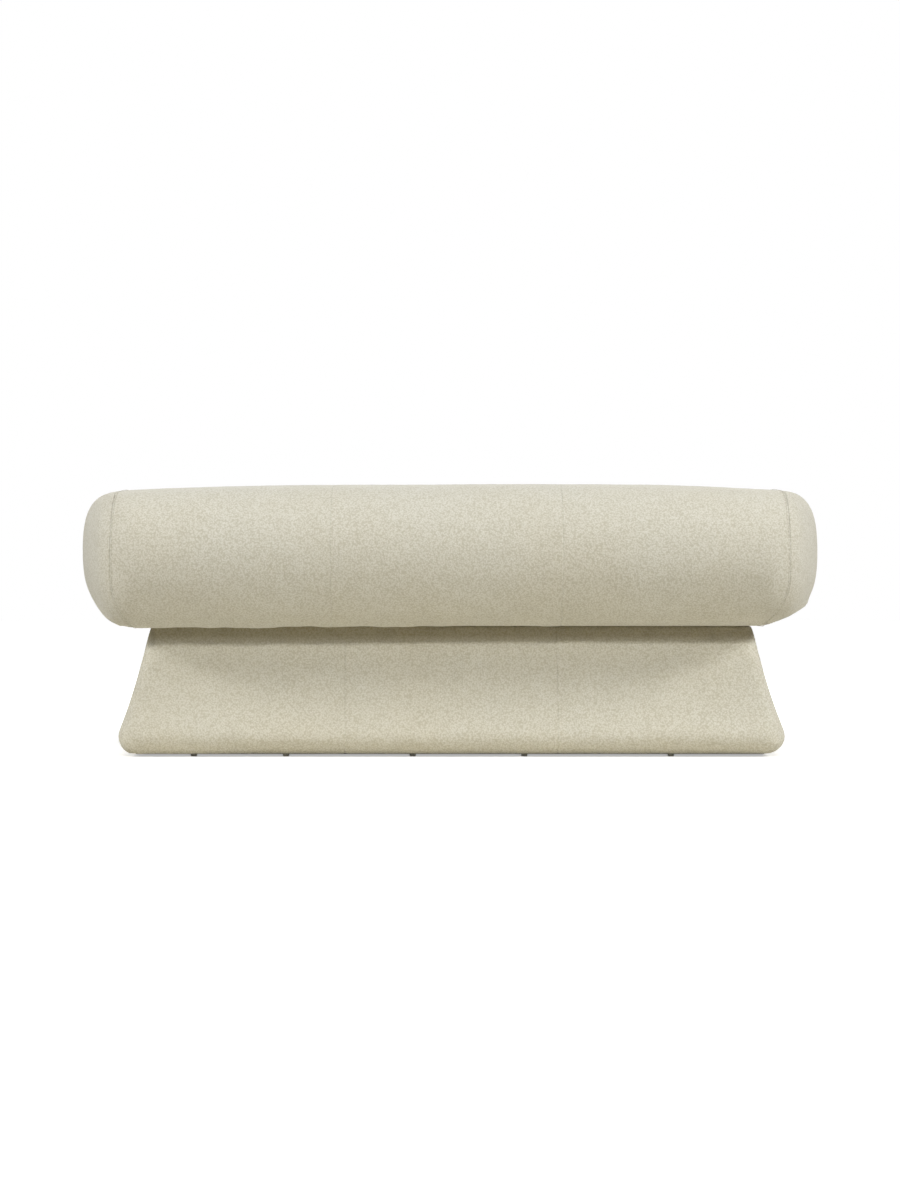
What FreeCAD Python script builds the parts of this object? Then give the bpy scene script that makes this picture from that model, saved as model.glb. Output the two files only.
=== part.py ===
import FreeCAD, Part

import math
import os

os.makedirs("parts", exist_ok=True)

# A backless divan: a long upholstered roll for a seat on a flared upholstered plinth.
# Millimetres. X runs along the roll, the front faces -Y, +Z is up.
# The origin is on the floor under the middle of the seat.

# Seat roll, measured over its cloth
seat_length = 1303.0
seat_depth = 620.0
seat_underside_z = 225.0
seat_top_z = 475.5
seat_crown_rise = 9.0
seat_end_drop = 11.5
seat_end_drop_power = 2.6
seat_end_plan_r = 680.0
seat_end_corner_r = 79.0
seat_end_dome_r = 258.0
seat_end_dome_z = 354.5
seat_end_top_r = 79.0
seat_end_bottom_r = 110.0

# Plinth, measured over its cloth
base_underside_z = 5.0
base_bottom_length = 1171.0
base_bottom_depth = 466.0
base_top_length = 1041.0
base_top_depth = 336.0
base_bottom_corner_r = 40.0
base_top_corner_r = 20.0
base_edge_r = 32.0

# Cloth, wadding and the sewn seams
cloth_t = 1.6
wadding_t = 8.0
soft_gap = 0.3
cap_seam_inset = 77.5
sleeve_seam_x = 196.0
base_seam_x = 183.0
end_seam_inset = 42.0
underside_cloth_end_margin = 23.0
underside_cloth_side_margin = 48.0
turned_under = 68.0
turned_over = 38.0

# Seat frame inside the roll
foam_end_overhang = 113.5
foam_nose_overhang = 122.0
seat_board_t = 15.0
seat_rail_t = 25.0
seat_rail_h = 95.0
cross_rail_h = 80.0
cross_rail_x = 175.0
seat_block = 60.0
seat_block_h = 60.0

# Springs and foam on the frame
spring_count = 7
spring_end_margin = 87.0
spring_wire = 3.4
spring_turns = 14
spring_leg = 40.0
clip_length = 30.0
clip_width = 14.0
clip_roof = 2.0
felt_t = 6.0
core_foam_h = 80.0

# Plinth carcass
panel_t = 15.0
deck_t = 18.0
panel_foot_lift = 33.0
base_rail_t = 30.0
base_rail_h = 60.0
post_size = 40.0
divider_x = 190.0

# Bolts that hold the seat down, with their washers and tee nuts
bolt_r = 4.0
bolt_head_r = 7.0
bolt_head_h = 5.5
bolt_x_spacing = 380.0
bolt_y_spacing = 200.0
bolt_hole_gap = 0.5
bolt_tail = 4.0
washer_r = 12.0
washer_t = 1.6
tee_flange_r = 11.0
tee_flange_t = 1.5
tee_barrel_r = 5.5
tee_barrel_h = 11.0
thread_gap = 0.1

# Screws through the plinth panels into the corner posts
screw_r = 2.0
screw_head_r = 4.0
screw_head_h = 2.5
screw_length = 38.0
front_screw_z = 95.0
end_screw_z = 82.0
screw_pitch = 55.0
screw_gap = 0.15

# Dust cover, staples and nail-on glides under the plinth
dust_cover_t = 0.8
dust_cover_margin = 1.5
staple_width = 12.0
staple_wire = 1.2
staple_crown_t = 0.6
staple_leg = 8.0
staple_inset = 5.0
staple_pitch = 118.0
staples_per_side = 9
staples_per_end = 3
staple_gap = 0.1
glide_r = 5.5
glide_edge_r = 1.2
glide_inset = 11.0
nail_r = 1.0
nail_head_r = 2.4
nail_head_t = 1.0
nail_head_recess = 0.6
nail_length = 16.0
nail_gap = 0.1
glide_places_x = (-442.0, -283.0, -64.5, 128.0, 381.0)

# Values that follow from the ones above
FAR = 2.0 * seat_length
base_height = seat_underside_z - base_underside_z
lining = cloth_t + wadding_t
cap_seam_x = seat_length / 2 - cap_seam_inset
seat_frame_length = seat_length - 2 * foam_end_overhang
seat_frame_depth = seat_depth - 2 * foam_nose_overhang
underside_cloth_length = seat_frame_length - 2 * underside_cloth_end_margin
underside_cloth_depth = seat_frame_depth - 2 * underside_cloth_side_margin
spring_run = seat_frame_length - 2 * seat_rail_t - 2 * spring_end_margin
spring_spacing = spring_run / (spring_count - 1)
seat_board_z = seat_underside_z + cloth_t
seat_rail_z = seat_board_z + seat_board_t
spring_seat_z = seat_rail_z + seat_rail_h
felt_z = spring_seat_z + spring_wire + clip_roof
core_foam_z = felt_z + felt_t
top_foam_z = core_foam_z + core_foam_h
deck_top_z = seat_underside_z - cloth_t
deck_z = deck_top_z - deck_t
panel_z = base_underside_z + panel_foot_lift
base_rail_z = base_underside_z + cloth_t
base_rail_top_z = base_rail_z + base_rail_h
dust_cover_z = base_underside_z - dust_cover_t
inner_face = lining + panel_t


def point(x, y, z):
    return FreeCAD.Vector(x, y, z)


def box(x0, x1, y0, y1, z0, z1):
    """A plain box between two corners."""
    return Part.makeBox(x1 - x0, y1 - y0, z1 - z0, point(x0, y0, z0))


def centred_box(length, depth, z0, z1):
    """A box about the middle of the seat."""
    return box(-length / 2, length / 2, -depth / 2, depth / 2, z0, z1)


def cylinder(x, y, z, radius, height):
    return Part.makeCylinder(radius, height, point(x, y, z))


def slab(x0, x1):
    """All of the space between two planes across the roll."""
    return box(x0, x1, -FAR, FAR, -FAR, FAR)


def save(shape, name):
    """Write one sub-part and say what went into it."""
    solids = shape.Solids
    if len(solids) == 1:
        shape = solids[0]
    shape.exportStep("parts/" + name + ".step")
    state = "valid" if shape.isValid() else "NOT VALID"
    print(name, len(solids), "solids", round(shape.Volume / 1000, 2), "cm3", state)


# The roll's outside form

def corner_start(side, corner_r, arc_r):
    """Where, along the roll, its side starts to turn into the domed end."""
    return seat_length / 2 - arc_r + math.sqrt((arc_r - corner_r) ** 2 - (side - corner_r) ** 2)


def end_outline(reach, side, corner_r, arc_r, inset):
    """How far the outline stands from the end's middle line at a distance along the roll."""
    arc_x = seat_length / 2 - arc_r
    corner_x = corner_start(side, corner_r, arc_r)
    touch_x = arc_x + (corner_x - arc_x) * (arc_r - inset) / (arc_r - corner_r)
    if reach <= corner_x:
        return side - inset
    if reach <= touch_x:
        return side - corner_r + math.sqrt((corner_r - inset) ** 2 - (reach - corner_x) ** 2)
    return math.sqrt((arc_r - inset) ** 2 - (reach - arc_x) ** 2)


top_side = seat_top_z - seat_end_drop - seat_end_dome_z
low_side = seat_end_dome_z - seat_underside_z
plan_start_x = corner_start(seat_depth / 2, seat_end_corner_r, seat_end_plan_r)
top_start_x = corner_start(top_side, seat_end_top_r, seat_end_dome_r)


def seat_limits(reach, inset):
    """Half depth, underside and top of the roll's section at a distance along it."""
    half_depth = end_outline(reach, seat_depth / 2, seat_end_corner_r, seat_end_plan_r, inset)
    above = end_outline(reach, top_side, seat_end_top_r, seat_end_dome_r, inset)
    below = end_outline(reach, low_side, seat_end_bottom_r, seat_end_dome_r, inset)
    sag = seat_end_drop * (1 - min(1.0, reach / top_start_x) ** seat_end_drop_power)
    return half_depth, seat_end_dome_z - below, seat_end_dome_z + above + sag


def seat_section(x, inset):
    """The roll's section: a flat underside, two round noses and a crowned top."""
    half_depth, low, top = seat_limits(abs(x), inset)
    crown = seat_crown_rise * (half_depth / (seat_depth / 2)) ** 2
    nose_r = (top - low - crown) / 2
    nose_y = half_depth - nose_r
    nose_z = low + nose_r
    crown_r = (nose_y ** 2 + (top - nose_z) ** 2 - nose_r ** 2) / (2 * (top - nose_z - nose_r))
    lean = math.atan2(nose_y, nose_z - (top - crown_r))

    def on_nose(side, angle):
        return point(x, side * (nose_y + nose_r * math.sin(angle)), nose_z + nose_r * math.cos(angle))

    def nose(side, start, end):
        middle = on_nose(side, (start + end) / 2)
        return Part.Arc(on_nose(side, start), middle, on_nose(side, end)).toShape()

    down = math.pi
    level = math.pi / 2
    return Part.Wire([
        nose(-1, down, level),
        nose(-1, level, lean),
        Part.Arc(on_nose(-1, lean), point(x, 0, top), on_nose(1, lean)).toShape(),
        nose(1, lean, level),
        nose(1, level, down),
        Part.LineSegment(on_nose(1, down), on_nose(-1, down)).toShape(),
    ])


END_STEPS = 9
END_SWEEP = math.radians(85)
MIDDLE_STEPS = 6


def closing_steps(reach, sweep, count):
    """Distances from nought towards a reach, closer and closer together."""
    return [reach * math.sin(sweep * i / count) for i in range(count + 1)]


def seat_stations(inset):
    """Places along half of the roll where its section is drawn, closer at corner and dome."""
    middle = closing_steps(plan_start_x, math.pi / 2, MIDDLE_STEPS)
    reach = seat_length / 2 - inset - plan_start_x
    end = closing_steps(reach, END_SWEEP, END_STEPS)
    return middle[:-1] + [plan_start_x + x for x in end]


def seat_form(inset):
    """The whole roll, drawn in from its outside by a thickness."""
    half = seat_stations(inset)
    stations = [-x for x in reversed(half[1:])] + half
    return Part.makeLoft([seat_section(x, inset) for x in stations], True, False)


# The plinth's outside form

slope_x = (base_bottom_length - base_top_length) / 2 / base_height
slope_y = (base_bottom_depth - base_top_depth) / 2 / base_height
wall_lean = math.atan(slope_x)
rim_top_z = base_underside_z + base_edge_r * (1 + math.sin(wall_lean))
flat_inset = slope_x * (rim_top_z - base_underside_z) + base_edge_r * math.cos(wall_lean)


def plinth_half(z, inset):
    """Half length and half depth of the plinth at a height, drawn in by a thickness."""
    half_x = base_bottom_length / 2 - slope_x * (z - base_underside_z)
    half_y = base_bottom_depth / 2 - slope_y * (z - base_underside_z)
    return half_x - inset * math.hypot(1, slope_x), half_y - inset * math.hypot(1, slope_y)


def corner_r(z, inset):
    """Radius of the plinth's upright corners at a height."""
    share = (z - base_underside_z) / base_height
    return base_bottom_corner_r + (base_top_corner_r - base_bottom_corner_r) * share - inset


def rounded_outline(z, half_x, half_y, radius):
    """A rectangle with rounded corners, lying at a height."""
    edges = []
    last = point(half_x, radius - half_y, z)
    for start, side_x, side_y in ((0, 1, 1), (90, -1, 1), (180, -1, -1), (270, 1, -1)):
        ends = []
        for turn in (start, start + 45, start + 90):
            angle = math.radians(turn)
            x = side_x * (half_x - radius) + radius * math.cos(angle)
            y = side_y * (half_y - radius) + radius * math.sin(angle)
            ends.append(point(x, y, z))
        edges.append(Part.LineSegment(last, ends[0]).toShape())
        edges.append(Part.Arc(*ends).toShape())
        last = ends[2]
    return Part.Wire(edges)


def plinth_outline(z, inset):
    """The plinth's outline at a height, drawn in by a thickness."""
    half_x, half_y = plinth_half(z, inset)
    return rounded_outline(z, half_x, half_y, corner_r(z, inset))


def plinth_block(inset, z0, z1):
    """The plinth between two heights, with rounded corners."""
    return Part.makeLoft([plinth_outline(z0, inset), plinth_outline(z1, inset)], True, True)


RIM_STEPS = 4


def plinth_form(inset):
    """The whole plinth, with its lower edge rounded, drawn in by a thickness."""
    radius = base_edge_r - inset
    lean = wall_lean
    touch_z = base_underside_z + inset + radius * (1 + math.sin(lean))
    half_x, half_y = plinth_half(touch_z, inset)
    rim = []
    for i in range(RIM_STEPS + 1):
        angle = -math.pi / 2 + (lean + math.pi / 2) * i / RIM_STEPS
        z = touch_z - radius * (math.sin(lean) - math.sin(angle))
        drawn = radius * (math.cos(lean) - math.cos(angle))
        rim.append(rounded_outline(z, half_x - drawn, half_y - drawn, corner_r(touch_z, inset) - drawn))
    wall = plinth_block(inset, touch_z, seat_underside_z - inset)
    return Part.makeLoft(rim, True, False).fuse(wall)


def prism(low_points, high_points):
    """A solid between two outlines of straight sides that lie at two heights."""
    count = len(low_points)
    faces = [Part.Face(Part.makePolygon(low_points + low_points[:1]))]
    faces.append(Part.Face(Part.makePolygon(high_points + high_points[:1])))
    for i in range(count):
        j = (i + 1) % count
        ring = [low_points[i], low_points[j], high_points[j], high_points[i], low_points[i]]
        faces.append(Part.Face(Part.makePolygon(ring)))
    solid = Part.Solid(Part.Shell(faces))
    if solid.Volume < 0:
        solid.reverse()
    return solid


def leaning_box(z0, z1, x_span, y_span):
    """A box whose sides may lean. The spans give the lower and upper limit at a height."""
    rings = []
    for z in (z0, z1):
        x0, x1 = x_span(z)
        y0, y1 = y_span(z)
        rings.append([point(x0, y0, z), point(x1, y0, z), point(x1, y1, z), point(x0, y1, z)])
    return prism(*rings)


def wall_x(side, z, inset):
    """Where an end wall of the plinth stands at a height, drawn in by a thickness."""
    return side * plinth_half(z, inset)[0]


def wall_y(side, z, inset):
    """Where the front or back wall of the plinth stands at a height."""
    return side * plinth_half(z, inset)[1]


def ordered(a, b):
    return (a, b) if a < b else (b, a)


def y_zone(side, inset):
    """All of the space outside a leaning plane that runs along the front or back wall."""
    return leaning_box(
        -base_height, 2 * base_height,
        lambda z: (-FAR, FAR),
        lambda z: ordered(side * FAR, wall_y(side, z, inset)),
    )


def x_zone(side, inset):
    """All of the space outside a leaning plane that runs along an end wall."""
    return leaning_box(
        -base_height, 2 * base_height,
        lambda z: ordered(side * FAR, wall_x(side, z, inset)),
        lambda z: (-FAR, FAR),
    )


# Fasteners: where they go, their solids and the room that they take

def seat_bolt_places():
    return [(i * bolt_x_spacing, j * bolt_y_spacing / 2) for i in (-1, 0, 1) for j in (-1, 1)]


def glide_places():
    """Front glides as they were nailed on, and the back ones turned half way round."""
    y = base_bottom_depth / 2 - flat_inset - glide_inset
    return [(x, -y) for x in glide_places_x] + [(-x, y) for x in glide_places_x]


def staple_places():
    """Middle of each staple and whether it lies along the plinth's length."""
    x = base_bottom_length / 2 - flat_inset - staple_inset
    y = base_bottom_depth / 2 - flat_inset - staple_inset
    places = []
    for i in range(staples_per_side):
        along = (i - (staples_per_side - 1) / 2) * staple_pitch
        places += [(along, -y, True), (along, y, True)]
    for i in range(staples_per_end):
        along = (i - (staples_per_end - 1) / 2) * staple_pitch
        places += [(-x, along, False), (x, along, False)]
    return places


def staple(x, y, along, grow):
    """One staple, with its crown under the dust cover and its legs up in the rail."""
    half = staple_width / 2
    wire = staple_wire / 2 + grow
    low = dust_cover_z - staple_crown_t
    parts = [(-half - grow, half + grow, low - grow, dust_cover_z + grow)]
    for side in (-1, 1):
        inner, outer = ordered(side * (half + grow), side * (half - staple_crown_t - grow))
        parts.append((inner, outer, low, dust_cover_z + staple_leg + grow))
    solid = None
    for a, b, z0, z1 in parts:
        piece = box(a, b, -wire, wire, z0, z1)
        solid = piece if solid is None else solid.fuse(piece)
    if not along:
        solid.rotate(point(0, 0, 0), point(0, 0, 1), 90)
    solid.translate(point(x, y, 0))
    return solid.removeSplitter()


def nail(x, y, grow):
    """One glide nail, with its head let into the glide."""
    head = cylinder(x, y, nail_head_recess - grow, nail_head_r + grow, nail_head_t + 2 * grow)
    tip_z = dust_cover_z + nail_length + grow
    shank = cylinder(x, y, nail_head_recess, nail_r + grow, tip_z - nail_head_recess)
    return head.fuse(shank).removeSplitter()


def screw(place, outward, grow):
    """One countersunk screw. Its head is flush at the place and it points inward."""
    body = Part.makeCylinder(screw_r + grow, screw_length + grow, point(0, 0, -screw_length - grow))
    head = Part.makeCone(screw_r + grow, screw_head_r + grow, screw_head_h, point(0, 0, -screw_head_h))
    solid = body.fuse(head).removeSplitter()
    turn = FreeCAD.Rotation(point(0, 0, 1), outward)
    solid.Placement = FreeCAD.Placement(place, turn)
    return solid


def screw_places():
    """Place and outward direction of each screw into the four corner posts."""
    places = []
    middle = inner_face + post_size / 2
    for side_x in (-1, 1):
        for side_y in (-1, 1):
            for i in (0, 1):
                z = front_screw_z + i * screw_pitch
                place = point(wall_x(side_x, z, middle), wall_y(side_y, z, lining), z)
                places.append((place, point(0, side_y, slope_y)))
                z = end_screw_z + i * screw_pitch
                place = point(wall_x(side_x, z, lining), wall_y(side_y, z, middle), z)
                places.append((place, point(side_x, 0, slope_x)))
    return places


def group(solids):
    return Part.makeCompound(solids)


nail_room = group([nail(x, y, nail_gap) for x, y in glide_places()])
staple_room = group([staple(x, y, along, staple_gap) for x, y, along in staple_places()])
screw_room = group([screw(place, outward, screw_gap) for place, outward in screw_places()])


def bolt_holes(radius, z0, z1):
    """Round holes through a board for the bolts that hold the seat down."""
    return group([cylinder(x, y, z0, radius, z1 - z0) for x, y in seat_bolt_places()])


# The seat roll's cloth, wadding and foam

def make_seat_cover():
    """The roll's cloth: a sleeve sewn from three lengths, and a cap at each end."""
    under = centred_box(
        underside_cloth_length, underside_cloth_depth,
        seat_underside_z - 1, seat_board_z + 1,
    )
    shell = seat_form(0).cut(seat_form(cloth_t)).cut(under)
    save(shell.common(slab(-cap_seam_x, -sleeve_seam_x)), "sleeve_cover_left")
    save(shell.common(slab(-sleeve_seam_x, sleeve_seam_x)), "sleeve_cover_centre")
    save(shell.common(slab(sleeve_seam_x, cap_seam_x)), "sleeve_cover_right")
    save(shell.common(slab(-FAR, -cap_seam_x)), "end_cap_cover_left")
    save(shell.common(slab(cap_seam_x, FAR)), "end_cap_cover_right")
    cloth = centred_box(
        underside_cloth_length, underside_cloth_depth,
        seat_underside_z, seat_board_z,
    )
    hole_r = bolt_r + bolt_hole_gap
    save(cloth.cut(bolt_holes(hole_r, seat_underside_z - 1, seat_board_z + 1)), "seat_underside_cloth")


def make_seat_padding():
    """Wadding round the foam, and the foam pieces round and on the frame."""
    core = seat_form(lining + soft_gap)
    frame_room = centred_box(
        seat_frame_length, seat_frame_depth,
        seat_underside_z - 1, top_foam_z,
    )
    wrap = seat_form(cloth_t + soft_gap).cut(seat_form(lining))
    save(wrap.cut(frame_room), "fibre_wrap")
    half_x = seat_frame_length / 2
    half_y = seat_frame_depth / 2
    save(core.common(slab(-FAR, -half_x)), "left_end_foam")
    save(core.common(slab(half_x, FAR)), "right_end_foam")
    middle = core.common(slab(-half_x, half_x))
    save(middle.common(box(-FAR, FAR, -FAR, -half_y, -FAR, FAR)), "front_nose_foam")
    save(middle.common(box(-FAR, FAR, half_y, FAR, -FAR, FAR)), "back_nose_foam")
    save(middle.common(centred_box(FAR, seat_frame_depth, top_foam_z, FAR)), "top_foam")
    save(centred_box(seat_frame_length, seat_frame_depth, core_foam_z, top_foam_z), "foam_core")
    save(centred_box(seat_frame_length, seat_frame_depth, felt_z, core_foam_z), "insulator_felt")


# The seat's frame and springs

def make_seat_frame():
    """A board with rails on edge round it, cross rails and glued corner blocks."""
    half_x = seat_frame_length / 2
    half_y = seat_frame_depth / 2
    board = centred_box(seat_frame_length, seat_frame_depth, seat_board_z, seat_rail_z)
    save(board.cut(bolt_holes(tee_barrel_r + thread_gap, seat_board_z - 1, seat_rail_z + 1)), "seat_board")
    top = spring_seat_z
    save(box(-half_x, half_x, -half_y, seat_rail_t - half_y, seat_rail_z, top), "seat_front_rail")
    save(box(-half_x, half_x, half_y - seat_rail_t, half_y, seat_rail_z, top), "seat_back_rail")
    inside_y = half_y - seat_rail_t
    save(box(-half_x, seat_rail_t - half_x, -inside_y, inside_y, seat_rail_z, top), "seat_left_rail")
    save(box(half_x - seat_rail_t, half_x, -inside_y, inside_y, seat_rail_z, top), "seat_right_rail")
    for side, name in ((-1, "seat_cross_rail_left"), (1, "seat_cross_rail_right")):
        x = side * cross_rail_x
        rail = box(
            x - seat_rail_t / 2, x + seat_rail_t / 2,
            -inside_y, inside_y, seat_rail_z, seat_rail_z + cross_rail_h,
        )
        save(rail, name)
    blocks = []
    for side_x in (-1, 1):
        for side_y in (-1, 1):
            x = side_x * (half_x - seat_rail_t)
            y = side_y * inside_y
            corner = [(x, y), (x - side_x * seat_block, y), (x, y - side_y * seat_block)]
            low = [point(a, b, seat_rail_z) for a, b in corner]
            high = [point(a, b, seat_rail_z + seat_block_h) for a, b in corner]
            blocks.append(prism(low, high))
    save(group(blocks), "seat_corner_blocks")


spring_end_y = seat_frame_depth / 2 - seat_rail_t / 2
spring_pitch = 2 * spring_end_y / spring_turns


def spring_path(z):
    """The zigzag line of one spring, from the front rail to the back rail."""
    bend = spring_pitch / 2
    half = spring_leg / 2
    edges = []
    for i in range(spring_turns + 1):
        y = -spring_end_y + i * spring_pitch
        side = 1 if i % 2 == 0 else -1
        edges.append(Part.LineSegment(point(-side * half, y, z), point(side * half, y, z)).toShape())
        if i == spring_turns:
            break
        for start in (-90, 0):
            ends = []
            for turn in (start, start + 45, start + 90):
                angle = math.radians(turn)
                x = side * (half + bend * math.cos(angle))
                ends.append(point(x, y + bend + bend * math.sin(angle), z))
            edges.append(Part.Arc(*ends).toShape())
    return Part.Wire(edges)


def make_springs():
    """Zigzag springs across the frame, each end held down by a clip on its rail."""
    wire_r = spring_wire / 2
    z = spring_seat_z + wire_r
    start = point(-spring_leg / 2, -spring_end_y, z)
    circle = Part.Wire(Part.makeCircle(wire_r, start, point(1, 0, 0)))
    spring = spring_path(z).makePipeShell([circle], True, False)
    half_clip = clip_length / 2
    springs = []
    clips = []
    for i in range(spring_count):
        x = (i - (spring_count - 1) / 2) * spring_spacing
        springs.append(spring.translated(point(x, 0, 0)))
        for side in (-1, 1):
            y = side * spring_end_y
            clip = box(
                x - half_clip, x + half_clip,
                y - clip_width / 2, y + clip_width / 2, spring_seat_z, felt_z,
            )
            room_r = wire_r + thread_gap
            bore = Part.makeCylinder(room_r, clip_length + 2, point(x - half_clip - 1, y, z), point(1, 0, 0))
            slot = box(x - half_clip - 1, x + half_clip + 1, y - room_r, y + room_r, spring_seat_z - 1, z)
            clips.append(clip.cut(bore).cut(slot))
    save(group(springs), "zigzag_springs")
    save(group(clips), "spring_clips")


# The plinth's carcass

def make_carcass():
    """Leaning panels round a deck, with rails, corner posts and two dividers inside."""
    block = plinth_block(lining, panel_z, deck_z)
    for side, name in ((-1, "base_front_panel"), (1, "base_back_panel")):
        save(block.common(y_zone(side, inner_face)).cut(screw_room), name)
    between = block.cut(y_zone(-1, inner_face)).cut(y_zone(1, inner_face))
    for side, name in ((-1, "base_left_panel"), (1, "base_right_panel")):
        save(between.common(x_zone(side, inner_face)).cut(screw_room), name)
    deck = plinth_block(lining, deck_z, deck_top_z)
    save(deck.cut(bolt_holes(bolt_r + bolt_hole_gap, deck_z - 1, deck_top_z + 1)), "base_deck")
    rail_face = inner_face + base_rail_t
    rails = {}
    for side, name in ((-1, "base_front_rail"), (1, "base_back_rail")):
        rails[name] = leaning_box(
            base_rail_z, base_rail_top_z,
            lambda z: (wall_x(-1, z, inner_face), wall_x(1, z, inner_face)),
            lambda z: ordered(wall_y(side, z, inner_face), wall_y(side, z, rail_face)),
        )
    for side, name in ((-1, "base_left_rail"), (1, "base_right_rail")):
        rails[name] = leaning_box(
            base_rail_z, base_rail_top_z,
            lambda z: ordered(wall_x(side, z, inner_face), wall_x(side, z, rail_face)),
            lambda z: (wall_y(-1, z, rail_face), wall_y(1, z, rail_face)),
        )
    inside = plinth_form(cloth_t + soft_gap)
    for name, rail in rails.items():
        save(rail.common(inside).cut(nail_room).cut(staple_room), name)
    posts = []
    post_face = inner_face + post_size
    for side_x in (-1, 1):
        for side_y in (-1, 1):
            post = leaning_box(
                base_rail_top_z, deck_z,
                lambda z: ordered(wall_x(side_x, z, inner_face), wall_x(side_x, z, post_face)),
                lambda z: ordered(wall_y(side_y, z, inner_face), wall_y(side_y, z, post_face)),
            )
            posts.append(post.cut(screw_room))
    save(group(posts), "base_corner_posts")
    for side, name in ((-1, "base_divider_left"), (1, "base_divider_right")):
        x = side * divider_x
        divider = leaning_box(
            panel_z, deck_z,
            lambda z: (x - panel_t / 2, x + panel_t / 2),
            lambda z: (wall_y(-1, z, inner_face), wall_y(1, z, inner_face)),
        )
        save(divider.cut(rails["base_front_rail"]).cut(rails["base_back_rail"]), name)


# The plinth's padding and cloth

def make_base_padding():
    """Thin padding over the four panels, turned in under their lower edges."""
    carcass = plinth_block(lining - soft_gap, panel_z, deck_top_z + 1)
    rail_room = leaning_box(
        -1, panel_z + 1,
        lambda z: (wall_x(-1, z, inner_face), wall_x(1, z, inner_face)),
        lambda z: (wall_y(-1, z, inner_face), wall_y(1, z, inner_face)),
    )
    padding = plinth_form(cloth_t + soft_gap).cut(carcass).cut(rail_room)
    save(padding.common(y_zone(-1, end_seam_inset)), "base_padding_front")
    save(padding.common(y_zone(1, end_seam_inset)), "base_padding_back")
    ends = padding.cut(y_zone(-1, end_seam_inset)).cut(y_zone(1, end_seam_inset))
    save(ends.common(slab(-FAR, 0)), "base_padding_left")
    save(ends.common(slab(0, FAR)), "base_padding_right")


def make_base_cover():
    """Cloth over the padding, turned over the deck and under the rails."""
    shell = plinth_form(0).cut(plinth_form(cloth_t))
    half_x, half_y = plinth_half(base_underside_z, 0)
    under = centred_box(
        2 * (half_x - turned_under), 2 * (half_y - turned_under),
        0, base_rail_z + 1,
    )
    half_x, half_y = plinth_half(seat_underside_z, 0)
    over = centred_box(
        2 * (half_x - turned_over), 2 * (half_y - turned_over),
        deck_top_z - 1, seat_underside_z + 1,
    )
    shell = shell.cut(under).cut(over).cut(nail_room).cut(staple_room)
    for side, place in ((-1, "front"), (1, "back")):
        strip = shell.common(y_zone(side, end_seam_inset))
        save(strip.common(slab(-FAR, -base_seam_x)), "base_cover_" + place + "_left")
        save(strip.common(slab(-base_seam_x, base_seam_x)), "base_cover_" + place + "_centre")
        save(strip.common(slab(base_seam_x, FAR)), "base_cover_" + place + "_right")
    ends = shell.cut(y_zone(-1, end_seam_inset)).cut(y_zone(1, end_seam_inset))
    save(ends.common(slab(-FAR, 0)), "base_cover_left_end")
    save(ends.common(slab(0, FAR)), "base_cover_right_end")


# What lies under the plinth, and the fasteners

def make_underside():
    """The dust cover with its staples, and the glides with their nails."""
    margin = flat_inset + dust_cover_margin
    dust = centred_box(
        base_bottom_length - 2 * margin, base_bottom_depth - 2 * margin,
        dust_cover_z, base_underside_z,
    )
    save(dust.cut(nail_room).cut(staple_room), "base_dust_cover")
    save(group([staple(x, y, along, 0) for x, y, along in staple_places()]), "dust_cover_staples")
    glides = []
    for x, y in glide_places():
        disc = cylinder(x, y, 0, glide_r, dust_cover_z)
        rim = [e for e in disc.Edges if e.BoundBox.ZMax < 0.001]
        glide = disc.makeFillet(glide_edge_r, rim)
        head_way = cylinder(x, y, -1, nail_head_r + nail_gap, nail_head_recess + 1)
        glides.append(glide.cut(nail_room).cut(head_way))
    save(group(glides), "glides")
    save(group([nail(x, y, 0) for x, y in glide_places()]), "glide_nails")


def make_fasteners():
    """Bolts up through the deck into tee nuts in the seat board, and the panel screws."""
    bolts = []
    washers = []
    tees = []
    top = seat_rail_z + tee_flange_t + bolt_tail
    head_top = deck_z - washer_t
    for x, y in seat_bolt_places():
        shank = cylinder(x, y, head_top, bolt_r, top - head_top)
        head = cylinder(x, y, head_top - bolt_head_h, bolt_head_r, bolt_head_h)
        bolts.append(shank.fuse(head).removeSplitter())
        washer = cylinder(x, y, head_top, washer_r, washer_t)
        washers.append(washer.cut(cylinder(x, y, head_top - 1, bolt_r + bolt_hole_gap, washer_t + 2)))
        flange = cylinder(x, y, seat_rail_z, tee_flange_r, tee_flange_t)
        barrel = cylinder(x, y, seat_rail_z - tee_barrel_h, tee_barrel_r, tee_barrel_h)
        bore = cylinder(x, y, seat_board_z, bolt_r + thread_gap, top)
        tees.append(flange.fuse(barrel).removeSplitter().cut(bore))
    save(group(bolts), "seat_bolts")
    save(group(washers), "seat_washers")
    save(group(tees), "tee_nuts")
    screws = [screw(place, outward, 0) for place, outward in screw_places()]
    save(group(screws), "panel_screws")


make_seat_cover()
make_seat_padding()
make_seat_frame()
make_springs()
make_carcass()
make_base_padding()
make_base_cover()
make_underside()
make_fasteners()
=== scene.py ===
import math

import bmesh
import bpy
from bpy.props import FloatProperty, FloatVectorProperty, PointerProperty
from bpy.types import Operator, Panel, PropertyGroup
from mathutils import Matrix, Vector, noise
from mathutils.kdtree import KDTree


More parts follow.
